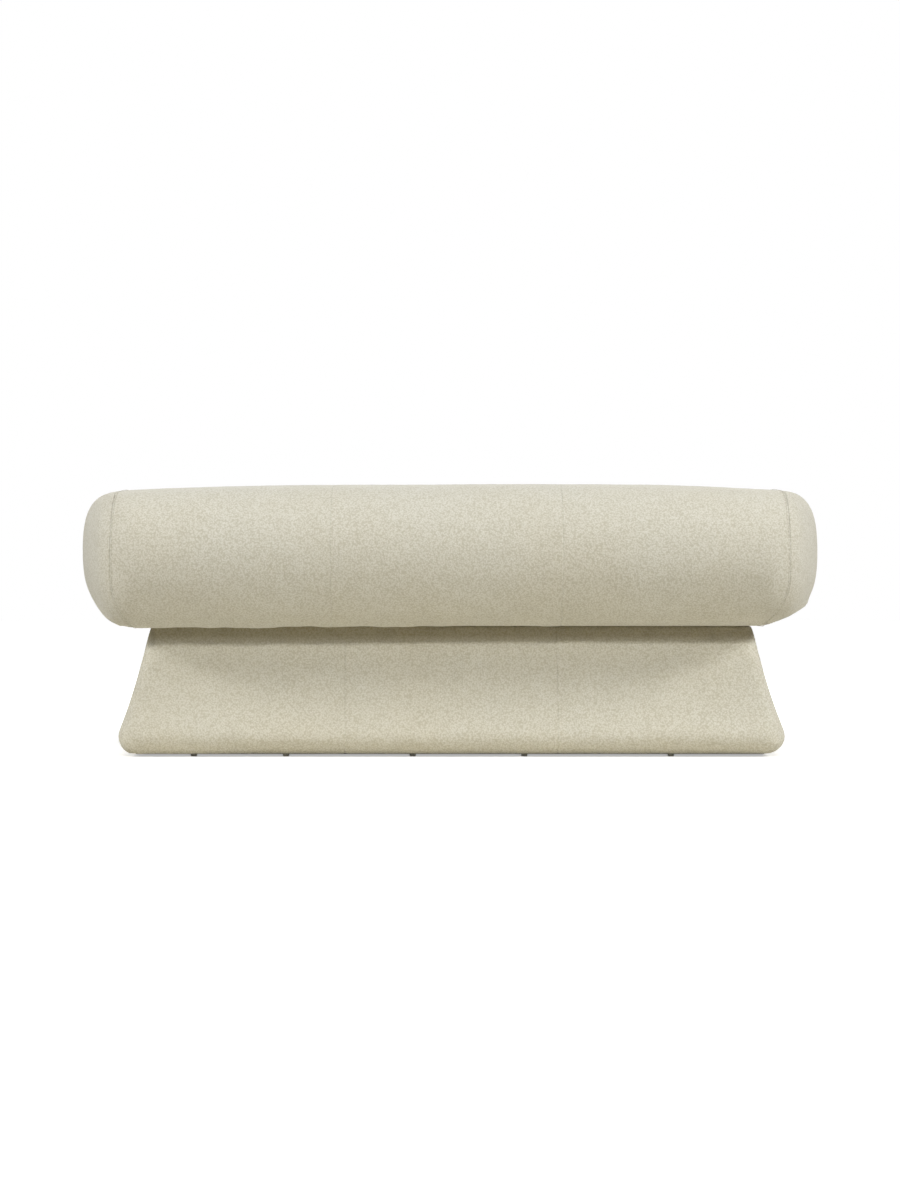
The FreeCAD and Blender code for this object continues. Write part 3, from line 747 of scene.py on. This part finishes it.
def thread_material(colours):
    """Twisted sewing thread."""
    material, sheet = new_material("sewing_thread")
    twist = sheet.noise(sheet.place(), scale=2600.0, detail=1.0)
    base = linear(colours.thread)
    shade = sheet.ramp(twist, [(0.35, toned(base, 0.8)), (0.65, base)])
    bump = sheet.bump(twist, strength=0.4, distance=0.0002)
    sheet.finish({"Base Color": shade, "Normal": bump}, in_Roughness=0.7, in_Sheen_Weight=0.15)
    return material


def wood_material(name, colour, scale):
    """Planed wood, with grain along the piece's X direction and small pores."""
    material, sheet = new_material(name)
    along = sheet.add("ShaderNodeMapping", {"Vector": sheet.place()}, in_Scale=scale).outputs[0]
    grain = sheet.noise(along, scale=1.0, detail=5.0, roughness=0.6, distortion=0.4)
    pores = sheet.noise(along, scale=9.0)
    base = linear(colour)
    shade = sheet.ramp(grain, [(0.30, toned(base, 0.62)), (0.52, base), (0.75, toned(base, 1.18))])
    fleck = sheet.ramp(pores, [(0.30, (0.75, 0.70, 0.66)), (0.42, grey(1.0))])
    rough = sheet.ramp(grain, [(0.2, grey(0.62)), (0.8, grey(0.48))])
    bump = sheet.bump(grain, strength=0.25, distance=0.0004)
    colour = sheet.tinted(shade, fleck)
    sheet.finish({"Base Color": colour, "Roughness": rough, "Normal": bump})
    return material


def dust_cloth_material(colours):
    """Matted fibre of the dust cover."""
    material, sheet = new_material("dust_cloth")
    fibres = sheet.noise(sheet.place(), scale=900.0, detail=4.0, roughness=0.65, distortion=0.6)
    base = linear(colours.dust_cover)
    shade = sheet.ramp(fibres, [(0.32, toned(base, 0.66)), (0.70, toned(base, 1.12))])
    bump = sheet.bump(fibres, strength=0.4, distance=0.0006)
    sheet.finish({"Base Color": shade, "Normal": bump}, in_Roughness=0.9, in_Sheen_Weight=0.1)
    return material


def metal_material(name, colour, roughness):
    """Drawn or plated steel, with faint scratches."""
    material, sheet = new_material(name)
    marks = sheet.noise(sheet.place(), scale=420.0, detail=3.0, roughness=0.6, distortion=0.3)
    base = linear(colour)
    shade = sheet.ramp(marks, [(0.3, toned(base, 0.8)), (0.7, base)])
    rough = sheet.ramp(marks, [(0.3, grey(roughness + 0.12)), (0.7, grey(roughness))])
    sheet.finish({"Base Color": shade, "Roughness": rough}, in_Metallic=1.0)
    return material


def nylon_material(colours):
    """Moulded nylon glides, scuffed where they meet the floor."""
    material, sheet = new_material("glide_nylon")
    scuffs = sheet.noise(sheet.place(), scale=900.0, detail=3.0, roughness=0.7)
    base = linear(colours.glide)
    shade = sheet.ramp(scuffs, [(0.35, toned(base, 0.72)), (0.62, base)])
    rough = sheet.ramp(scuffs, [(0.3, grey(0.6)), (0.7, grey(0.38))])
    sheet.finish({"Base Color": shade, "Roughness": rough})
    return material


def dress(piece, material):
    """Give a piece one finish."""
    piece.data.materials.clear()
    piece.data.materials.append(material)


def finish_named(name):
    """A finish that an earlier step made."""
    return bpy.data.materials[name]


def finish_cover(panel, finish, nodes):
    """Finish a padded length of cloth that stands for some of the solids."""
    dress(panel, finish_named(finish))
    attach(panel, "root")
    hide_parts(*nodes)


# Operators


# The cloth lies flat on the seat board, which reaches this far from the middle. It is free once it
# is this far past the board's sides and ends.
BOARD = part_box("seat_board")[1]
PAST_SIDE, PAST_END = 0.018, 0.030

SLEEVE_LEFT, SLEEVE_CENTRE, SLEEVE_RIGHT, CAP_LEFT, CAP_RIGHT = range(5)

ROLL_PANELS = {
    CAP_LEFT: ("roll_cap_left", ("end_cap_cover_left", "left_end_foam")),
    SLEEVE_LEFT: ("roll_sleeve_left", ("sleeve_cover_left", "back_nose_foam")),
    SLEEVE_CENTRE: (
        "roll_sleeve_centre",
        ("sleeve_cover_centre", "top_foam", "foam_core", "fibre_wrap", "insulator_felt",
         "seat_underside_cloth"),
    ),
    SLEEVE_RIGHT: ("roll_sleeve_right", ("sleeve_cover_right", "front_nose_foam")),
    CAP_RIGHT: ("roll_cap_right", ("end_cap_cover_right", "right_end_foam")),
}


class DIVAN_OT_finishes(Operator):
    """Make the cloth, thread, wood, metal and nylon finishes."""

    bl_idname = "divan.finishes"
    bl_label = "Make Finishes"

    def execute(self, context):
        colours = context.scene.divan_colours
        boucle_material("boucle_cloth", colours)
        # The plinth's cloth is a copy with painted shade close under the roll.
        boucle_material("plinth_boucle_painted_shade", colours, context.scene.divan_plinth.top - PAINTED_SHADE_START)
        thread_material(colours)
        nylon_material(colours)
        wood_material("beech_rail", colours.beech, scale=(9.0, 90.0, 90.0))
        wood_material("birch_ply", colours.birch, scale=(6.0, 40.0, 700.0))
        dust_cloth_material(colours)
        metal_material("spring_wire", colours.spring, roughness=0.38)
        metal_material("zinc_plate", colours.zinc, roughness=0.28)
        return {"FINISHED"}


def sleeve_stations(roll):
    """Places of the mesh rings along the sleeve, and the mark of each length of cloth."""
    marks = (-roll.cap_seam, -roll.left_seam, roll.right_seam, roll.cap_seam)
    stations = [marks[0]]
    panels = []
    for mark, (start, stop) in enumerate(zip(marks, marks[1:])):
        count = round((stop - start) / roll.cell)
        stations += [start + (stop - start) * (i + 1) / count for i in range(count)]
        panels += [mark] * count
    return stations, panels


# The sleeve's mesh starts to lean with the end seams this far from them.
LEAN_RUN = 0.20


def lay_sleeve(bm, form, roll):
    """The sleeve, as three lengths of cloth round the roll."""
    stations, panels = sleeve_stations(roll)

    def place(column, row):
        x = stations[column]
        share = smooth_step(roll.cap_seam - LEAN_RUN, roll.cap_seam, abs(x))
        return form.leaned(x, row, share)

    laid_grid(bm, len(panels), form.count, place, lambda column: panels[column])


# Rounds in which a ring's place on the dome is closed in on.
HALVINGS = 40


def lay_cap(bm, form, roll, side, mark):
    """One end cap, as a patch whose rings shrink towards the tip of the dome."""
    quarter, corner = form.QUARTER, form.SQUARE_CORNER
    wide, tall = quarter + 2 * corner, quarter - 2 * corner
    first = quarter // 2 + corner
    seam_depth = form.half_depth(roll.cap_seam)
    places = {}

    def reach(share):
        if share not in places:
            low, high = roll.cap_seam, form.half
            for _ in range(HALVINGS):
                middle = (low + high) / 2
                if form.half_depth(middle) > share * seam_depth:
                    low = middle
                else:
                    high = middle
            places[share] = roll.cap_seam if share >= 1 else (low + high) / 2
        return places[share]

    def place(column, row):
        p = 2 * column / wide - 1
        q = 2 * row / tall - 1
        share = max(abs(p), abs(q))
        if share < 1e-9:
            return form.point(side * form.half, 0)
        p, q = p / share, q / share
        if p <= -1 + 1e-9:
            turn = first + (q + 1) / 2 * tall
        elif q >= 1 - 1e-9:
            turn = first + tall + (p + 1) / 2 * wide
        elif p >= 1 - 1e-9:
            turn = first + tall + wide + (1 - q) / 2 * tall
        else:
            turn = first + 2 * tall + wide + (1 - p) / 2 * wide
        return form.leaned(side * reach(round(share, 9)), turn, share ** 3)

    laid_grid(bm, wide, tall, place, lambda column: mark)


# Where along the roll each of its uneven places starts, and where it is full.
RIGHT_TUCK_RUN = (0.47, 0.59)
LEFT_TUCK_RUN = (-0.55, -0.61)
TILT_RUN = (-0.45, 0.45)
TOP_RISE_RUN = (0.05, 0.45)
RIGHT_BULGE_RUN = (0.58, 0.63)
LEFT_BULGE_RUN = (-0.56, -0.62)
# The middle of the dip in the roll's top, and its reach.
TOP_DENT = (-0.12, 0.16)


def settle_roll(bm, roll, lie):
    """Move the cloth as the real one lies: wavy below, and drawn up at its right end."""
    for v in bm.verts:
        x, y, z = v.co
        high = z - roll.underside
        past_side = smooth_step(BOARD.y, BOARD.y + PAST_SIDE, abs(y))
        past_end = smooth_step(BOARD.x, BOARD.x + PAST_END, abs(x))
        free = max(past_side, past_end)
        tuck = lie.right_tuck * smooth_step(*RIGHT_TUCK_RUN, x)
        tuck += lie.left_tuck * smooth_step(*LEFT_TUCK_RUN, x)
        tilt = lie.tilt * smooth_step(*TILT_RUN, x) - lie.sag
        wave = lie.wave * wander(x * 14.0, math.copysign(3.0, y), 0.2)
        wave += lie.ripple * wander(x * 37.0, math.copysign(9.0, y), 1.7)
        lift = tuck * (1 - smooth_step(0.01, 0.11, high))
        lift += tilt * (1 - smooth_step(0.004, 0.105, high))
        lift += wave * (1 - smooth_step(0.002, 0.035, high))
        crown = lie.top_rise * smooth_step(*TOP_RISE_RUN, x)
        crown -= lie.top_dent * hump(x - TOP_DENT[0], TOP_DENT[1])
        v.co.z += free * lift + crown * smooth_step(0.36, 0.46, z)
        v.co.x += lie.right_bulge * smooth_step(*RIGHT_BULGE_RUN, x) * hump(high - 0.026, 0.012)
        v.co.x += lie.left_bulge * smooth_step(*LEFT_BULGE_RUN, x) * hump(high - 0.038, 0.030)
        uneven = lie.roll_uneven * wander(x * 5.5, y * 7.0, z * 7.0)
        uneven += lie.roll_fine * wander(x * 16.0, y * 6.0, z * 6.0 + 8.0)
        v.co += v.normal * uneven * max(free, smooth_step(0.01, 0.05, high))


def pinch(bm, lie):
    """Draw the cloth on the front in at one spot, as a tight stitch does."""
    for v in bm.verts:
        away = math.hypot(v.co.x - lie.pucker_x, v.co.z - lie.pucker_z)
        if v.co.y < 0 and away < 3 * lie.pucker_reach:
            v.co -= v.normal * lie.pucker_depth * hump(away, lie.pucker_reach)


# How firmly the roll's cloth is held at its end seams, at its other seams and in the open, and how
# hard its filling presses, how far it may move the cloth and in how many frames.
ROLL_HOLD = (1.0, 0.5, 0.25)
ROLL_FILLING = (0.6, 0.003, 12)
# How strongly the seams draw the cloth in.
END_SEAM_PULL, SLEEVE_SEAM_PULL = 0.38, 0.12


class DIVAN_OT_roll(Operator):
    """Sew the roll's sleeve and end caps, fill them and turn in their seams."""

    bl_idname = "divan.roll"
    bl_label = "Build Roll"

    def execute(self, context):
        scene = context.scene
        roll, seams, lie = scene.divan_roll, scene.divan_seams, scene.divan_lie
        form = RollForm(roll)
        bm = bmesh.new()
        lay_sleeve(bm, form, roll)
        lay_cap(bm, form, roll, -1, CAP_LEFT)
        lay_cap(bm, form, roll, 1, CAP_RIGHT)
        join_lengths(bm)
        settle_roll(bm, roll, lie)
        rings = sewn_rings(bm)
        plinth_side = scene.divan_plinth.top_depth / 2
        firm, half_firm, loose = ROLL_HOLD
        held = []
        for v in bm.verts:
            if v in rings:
                held.append(firm if max(rings[v]) >= CAP_LEFT else half_firm)
            elif v.co.z < roll.underside + 0.001 and abs(v.co.y) < plinth_side:
                held.append(firm)
            else:
                held.append(loose)
        if any(e.is_boundary for e in bm.edges):
            raise RuntimeError("the roll's cover isn't closed")
        sewn = filled_cover(
            "roll_cover", bm, held, ROLL_FILLING, seams,
            lambda marks: END_SEAM_PULL if max(marks) >= CAP_LEFT else SLEEVE_SEAM_PULL,
        )
        pinch(sewn, lie)
        sew_rows(sewn, seams)
        for mark, (name, nodes) in ROLL_PANELS.items():
            made = cut_panel(sewn, mark)
            turn_in(made, seams.allowance)
            panel = new_piece(name, made)
            smooth_faces(panel)
            finish_cover(panel, "boucle_cloth", nodes)
        sewn.free()
        return {"FINISHED"}


# How much of an end seam's dip the stitches stand out by.
STITCH_RISE = 0.62


def sew_rows(bm, seams):
    """A row of stitches beside each end seam, on the sleeve's side of it."""
    bm.normal_update()
    shape = Vector((seams.thread_r, seams.thread_r, seams.stitch / 2))
    for marks, chain in seam_tracks(sewn_rings(bm)):
        if max(marks) < CAP_LEFT:
            continue
        side = -1 if max(marks) == CAP_LEFT else 1
        rows = bmesh.new()
        total = 0.0
        next_place = 0.0
        for i, v in enumerate(chain):
            other = chain[(i + 1) % len(chain)]
            run = (other.co - v.co).length
            while next_place < total + run:
                share = (next_place - total) / run
                spot = v.co.lerp(other.co, share)
                normal = v.normal.lerp(other.normal, share).normalized()
                along = (other.co - v.co).normalized()
                inward = along.cross(normal).normalized()
                if inward.x * side > 0:
                    inward = -inward
                centre = spot + inward * seams.row_offset + normal * (seams.dip * STITCH_RISE)
                made = bmesh.ops.create_uvsphere(rows, u_segments=6, v_segments=4, radius=1.0)
                turn = Vector((0, 0, 1)).rotation_difference(along).to_matrix()
                for w in made["verts"]:
                    w.co = centre + turn @ (w.co * shape)
                next_place += seams.stitch_pitch
            total += run
        name = "cap_stitches_left" if side < 0 else "cap_stitches_right"
        piece = new_piece(name, rows)
        smooth_faces(piece)
        dress(piece, finish_named("sewing_thread"))
        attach(piece, "root")


FRONT_LEFT, FRONT_CENTRE, FRONT_RIGHT, BACK_LEFT, BACK_CENTRE, BACK_RIGHT = range(6)
END_LEFT, END_RIGHT = 6, 7

PLINTH_PANELS = {
    FRONT_LEFT: ("plinth_front_left", ("base_cover_front_left",)),
    FRONT_CENTRE: ("plinth_front_centre", ("base_cover_front_centre", "base_padding_front")),
    FRONT_RIGHT: ("plinth_front_right", ("base_cover_front_right",)),
    BACK_LEFT: ("plinth_back_left", ("base_cover_back_left",)),
    BACK_CENTRE: ("plinth_back_centre", ("base_cover_back_centre", "base_padding_back")),
    BACK_RIGHT: ("plinth_back_right", ("base_cover_back_right",)),
    END_LEFT: ("plinth_end_left", ("base_cover_left_end", "base_padding_left")),
    END_RIGHT: ("plinth_end_right", ("base_cover_right_end", "base_padding_right")),
}


def plinth_marks(form):
    """The mark of the cloth in each column of the plinth's mesh."""
    middle, outer, end = form.sides
    wing = outer + form.CORNER + form.BESIDE
    half_end = int(end / 2)
    marks = [FRONT_CENTRE] * middle + [FRONT_RIGHT] * wing + [END_RIGHT] * (2 * half_end)
    marks += [BACK_RIGHT] * wing + [BACK_CENTRE] * (2 * middle) + [BACK_LEFT] * wing
    marks += [END_LEFT] * (2 * half_end) + [FRONT_LEFT] * wing + [FRONT_CENTRE] * middle
    return marks


# Where along the plinth its left foot starts to hang, and where it hangs in full. The flat cloth
# underneath ends between the next two distances inside the foot.
DROOP_RUN = (-0.30, -0.48)
FLAT_ENDS = (0.042, 0.028)


def settle_plinth(bm, plinth, lie):
    """Move the plinth's cloth as it was pulled: a little uneven, and lower at its left foot."""
    inner, outer = FLAT_ENDS
    side, end = plinth.bottom_depth / 2, plinth.bottom_length / 2
    for v in bm.verts:
        x, y, z = v.co
        high = z - plinth.underside
        below = plinth.top - z
        wall = smooth_step(0.0, 0.03, z) * smooth_step(0.003, 0.02, below)
        uneven = lie.plinth_uneven * wander(x * 4.5, y * 6.0, z * 6.0)
        uneven += lie.plinth_fine * wander(x * 15.0, y * 15.0, z * 9.0 + 4.0)
        past_side = smooth_step(side - inner, side - outer, abs(y))
        past_end = smooth_step(end - inner, end - outer, abs(x))
        foot = (1 - smooth_step(0.001, 0.030, high)) * max(past_side, past_end)
        droop = lie.foot_wave * wander(x * 11.0, y * 11.0, 2.0)
        droop -= lie.foot_droop * smooth_step(*DROOP_RUN, x)
        share = min(1.0, high / (plinth.top - plinth.underside) * 1.15 - 0.12)
        hollow = lie.wall_hollow * max(0.0, math.sin(math.pi * share))
        v.co += v.normal * (uneven * wall - hollow)
        v.co.z += foot * droop
        v.co.x += lie.plinth_shift


# How firmly the plinth's cloth is held at its seams and edges and in the open, how hard its padding
# presses, how far it may move the cloth and in how many frames.
PLINTH_HOLD = (1.0, 0.10)
PLINTH_FILLING = (0.4, 0.0015, 10)
CORNER_SEAM_PULL, WALL_SEAM_PULL = 0.6, 0.18
# The cloth is tacked where it is no further than this from the deck or the underside.
TACKED = 0.004


class DIVAN_OT_plinth(Operator):
    """Cover the plinth with eight lengths of padded cloth."""

    bl_idname = "divan.plinth"
    bl_label = "Build Plinth"

    def execute(self, context):
        scene = context.scene
        plinth, seams = scene.divan_plinth, scene.divan_seams
        form = PlinthForm(plinth)
        rings = [form.ring(z, drawn) for z, drawn in form.levels()]
        marks = plinth_marks(form)
        columns = len(rings[0])
        if len(marks) != columns:
            raise RuntimeError("the plinth's cloth doesn't fit its outline")
        bm = bmesh.new()

        def place(column, row):
            return rings[row][column % columns]

        laid_grid(bm, columns, len(rings) - 1, place, lambda column: marks[column])
        join_lengths(bm)
        settle_plinth(bm, plinth, scene.divan_lie)
        seam_points = sewn_rings(bm)
        firm, loose = PLINTH_HOLD
        held = []
        for v in bm.verts:
            tacked = v.co.z > plinth.top - TACKED or v.co.z < plinth.underside + TACKED
            held.append(firm if v in seam_points or tacked else loose)
        sewn = filled_cover(
            "plinth_cover", bm, held, PLINTH_FILLING, seams,
            lambda marks: WALL_SEAM_PULL if max(marks) < END_LEFT else CORNER_SEAM_PULL,
        )
        for mark, (name, nodes) in PLINTH_PANELS.items():
            panel = new_piece(name, cut_panel(sewn, mark))
            smooth_faces(panel)
            wall = panel.modifiers.new("Padding", "SOLIDIFY")
            wall.thickness = plinth.padding
            wall.offset = -1
            # Plinth cloth with painted shade close under the roll.
            finish_cover(panel, "plinth_boucle_painted_shade", nodes)
        sewn.free()
        return {"FINISHED"}


INNER_FINISHES = {
    "beech_rail": (
        "seat_front_rail", "seat_back_rail", "seat_left_rail", "seat_right_rail",
        "seat_cross_rail_left", "seat_cross_rail_right", "seat_corner_blocks",
        "base_front_rail", "base_back_rail", "base_left_rail", "base_right_rail",
        "base_corner_posts",
    ),
    "birch_ply": (
        "seat_board", "base_deck", "base_front_panel", "base_back_panel",
        "base_left_panel", "base_right_panel", "base_divider_left", "base_divider_right",
    ),
    "spring_wire": ("zigzag_springs", "spring_clips"),
    "zinc_plate": (
        "seat_bolts", "seat_washers", "tee_nuts", "panel_screws", "dust_cover_staples",
        "glide_nails",
    ),
    "dust_cloth": ("base_dust_cover",),
    "glide_nylon": ("glides",),
}


class DIVAN_OT_frame(Operator):
    """Give the frame, springs, fasteners, dust cover and glides their finishes."""

    bl_idname = "divan.frame"
    bl_label = "Finish Frame and Underside"

    def execute(self, context):
        for finish, names in INNER_FINISHES.items():
            for name in names:
                dress(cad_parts[name], finish_named(finish))
        return {"FINISHED"}


DAY = (1.0, 1.0, 1.0)
WARM = (1.0, 0.98, 0.94)
# Each lamp's place, the point that it faces, its width, height and power, and its colour.
LAMPS = {
    "lamp_above": ((0.0, -0.6, 3.2), (0.0, 0.0, 0.3), 3.6, 2.0, 22.0, DAY),
    "lamp_front": ((0.0, -5.2, 3.3), (0.0, 0.0, 0.3), 2.6, 0.5, 126.0, WARM),
    "lamp_back": ((0.0, 5.2, 3.0), (0.0, 0.0, 0.3), 3.6, 1.6, 80.0, DAY),
    "lamp_left": ((-3.3, -1.2, 2.05), (-0.3, 0.0, 0.25), 0.8, 0.7, 56.0, DAY),
    "lamp_right": ((3.3, -1.2, 2.05), (0.3, 0.0, 0.25), 0.8, 0.7, 69.0, DAY),
}
FLOOR_HALF = 30.0
SURROUND_LIGHT = 0.10
CAMERA_PLACE = (0.0, -5.0, 0.2695)
CAMERA_LENS, CAMERA_SENSOR, CAMERA_REACH = 83.8, 36.0, 100.0


def soft_lamp(name, place, aim, width, height, power, colour):
    """A rectangular soft lamp that faces a point."""
    lamp = bpy.data.lights.new(name, "AREA")
    lamp.shape = "RECTANGLE"
    lamp.size = width
    lamp.size_y = height
    lamp.energy = power
    lamp.color = colour
    holder = bpy.data.objects.new(name, lamp)
    bpy.context.scene.collection.objects.link(holder)
    holder.location = place
    holder.rotation_euler = (Vector(aim) - Vector(place)).to_track_quat("-Z", "Y").to_euler()


def white_to_camera(sheet):
    """One for rays that show the background, and nought for those that light the object."""
    rays = sheet.add("ShaderNodeLightPath")
    seen = sheet.sum("ADD", rays.outputs["Is Camera Ray"], rays.outputs["Is Glossy Ray"])
    return sheet.sum("MINIMUM", sheet.sum("ADD", seen, rays.outputs["Is Transmission Ray"]), 1.0)


def split_by_ray(sheet, lights, shown):
    """One shader for the light on the object, and another for what the camera sees."""
    links = {"Fac": white_to_camera(sheet), 1: lights.outputs[0], 2: shown.outputs[0]}
    return sheet.add("ShaderNodeMixShader", links).outputs[0]


def pale_floor():
    """A floor that keeps the object's shadow and is white further off."""
    bm = bmesh.new()
    bmesh.ops.create_grid(bm, x_segments=8, y_segments=8, size=FLOOR_HALF)
    floor = new_piece("floor", bm)
    material, sheet = new_material("pale_floor")
    away = sheet.add("ShaderNodeVectorMath", {0: sheet.place()}, operation="LENGTH")
    away = sheet.sum("MULTIPLY", away.outputs["Value"], 0.25)
    bounce = sheet.ramp(away, [(0.15, (0.84, 0.80, 0.69)), (0.40, (0.36, 0.35, 0.33))])
    shine = sheet.ramp(away, [(0.15, grey(0.44)), (0.60, grey(0.97))])
    matt = sheet.add("ShaderNodeBsdfDiffuse", {"Color": bounce})
    pale = sheet.add("ShaderNodeBsdfDiffuse", in_Color=(0.9, 0.9, 0.9, 1))
    glow = sheet.add("ShaderNodeEmission", {"Color": shine}, in_Strength=1.0)
    lifted = sheet.add("ShaderNodeAddShader", {0: pale.outputs[0], 1: glow.outputs[0]})
    shown = split_by_ray(sheet, matt, lifted)
    sheet.add("ShaderNodeOutputMaterial", {"Surface": shown})
    dress(floor, material)


def white_surround(scene):
    """A dim surround that the camera sees as white."""
    world = bpy.data.worlds.new("soft_surround")
    world.use_nodes = True
    scene.world = world
    sheet = NodeSheet(world.node_tree)
    dim = sheet.add("ShaderNodeBackground", in_Color=(1, 1, 1, 1), in_Strength=SURROUND_LIGHT)
    white = sheet.add("ShaderNodeBackground", in_Color=(1, 1, 1, 1), in_Strength=1.0)
    sheet.add("ShaderNodeOutputWorld", {"Surface": split_by_ray(sheet, dim, white)})


def level_camera(scene):
    """The photo's camera: in front of the middle, and level."""
    view = bpy.data.cameras.new("camera")
    view.sensor_fit = "AUTO"
    view.sensor_width = CAMERA_SENSOR
    view.lens = CAMERA_LENS
    view.clip_end = CAMERA_REACH
    camera = bpy.data.objects.new("camera", view)
    scene.collection.objects.link(camera)
    camera.location = CAMERA_PLACE
    camera.rotation_euler = (math.pi / 2, 0, 0)
    scene.camera = camera


class DIVAN_OT_stage(Operator):
    """Set up the pale floor, the white surround, the soft lamps and the camera."""

    bl_idname = "divan.stage"
    bl_label = "Set Stage"

    def execute(self, context):
        scene = context.scene
        scene.view_settings.view_transform = "Standard"
        pale_floor()
        white_surround(scene)
        for name, values in LAMPS.items():
            soft_lamp(name, *values)
        level_camera(scene)
        return {"FINISHED"}


class DIVAN_PT_sidebar(Panel):
    """Buttons that build and dress the divan."""

    bl_idname = "DIVAN_PT_sidebar"
    bl_label = "Backless Divan"
    bl_space_type = "VIEW_3D"
    bl_region_type = "UI"
    bl_category = "Divan"

    def draw(self, context):
        column = self.layout.column()
        for step in STEPS:
            column.operator(step.bl_idname)
        for name, kind in GROUPS.items():
            box = self.layout.box()
            for value in kind.__annotations__:
                box.prop(getattr(context.scene, name), value)


STEPS = (DIVAN_OT_finishes, DIVAN_OT_roll, DIVAN_OT_plinth, DIVAN_OT_frame, DIVAN_OT_stage)
GROUPS = {
    "divan_roll": RollSizes,
    "divan_plinth": PlinthSizes,
    "divan_seams": SeamSizes,
    "divan_lie": LieSizes,
    "divan_colours": DivanColours,
}


def register():
    """Add the divan's values, steps and sidebar to Blender."""
    for group in GROUPS.values():
        bpy.utils.register_class(group)
    for name, group in GROUPS.items():
        setattr(bpy.types.Scene, name, PointerProperty(type=group))
    for step in STEPS:
        bpy.utils.register_class(step)
    bpy.utils.register_class(DIVAN_PT_sidebar)


def unregister():
    """Take them away again."""
    bpy.utils.unregister_class(DIVAN_PT_sidebar)
    for step in reversed(STEPS):
        bpy.utils.unregister_class(step)
    for name in GROUPS:
        delattr(bpy.types.Scene, name)
    for group in reversed(GROUPS.values()):
        bpy.utils.unregister_class(group)


def main():
    """Build and dress the divan."""
    register()
    bpy.ops.divan.finishes()
    bpy.ops.divan.roll()
    bpy.ops.divan.plinth()
    bpy.ops.divan.frame()
    bpy.ops.divan.stage()


if __name__ == "__main__":
    main()
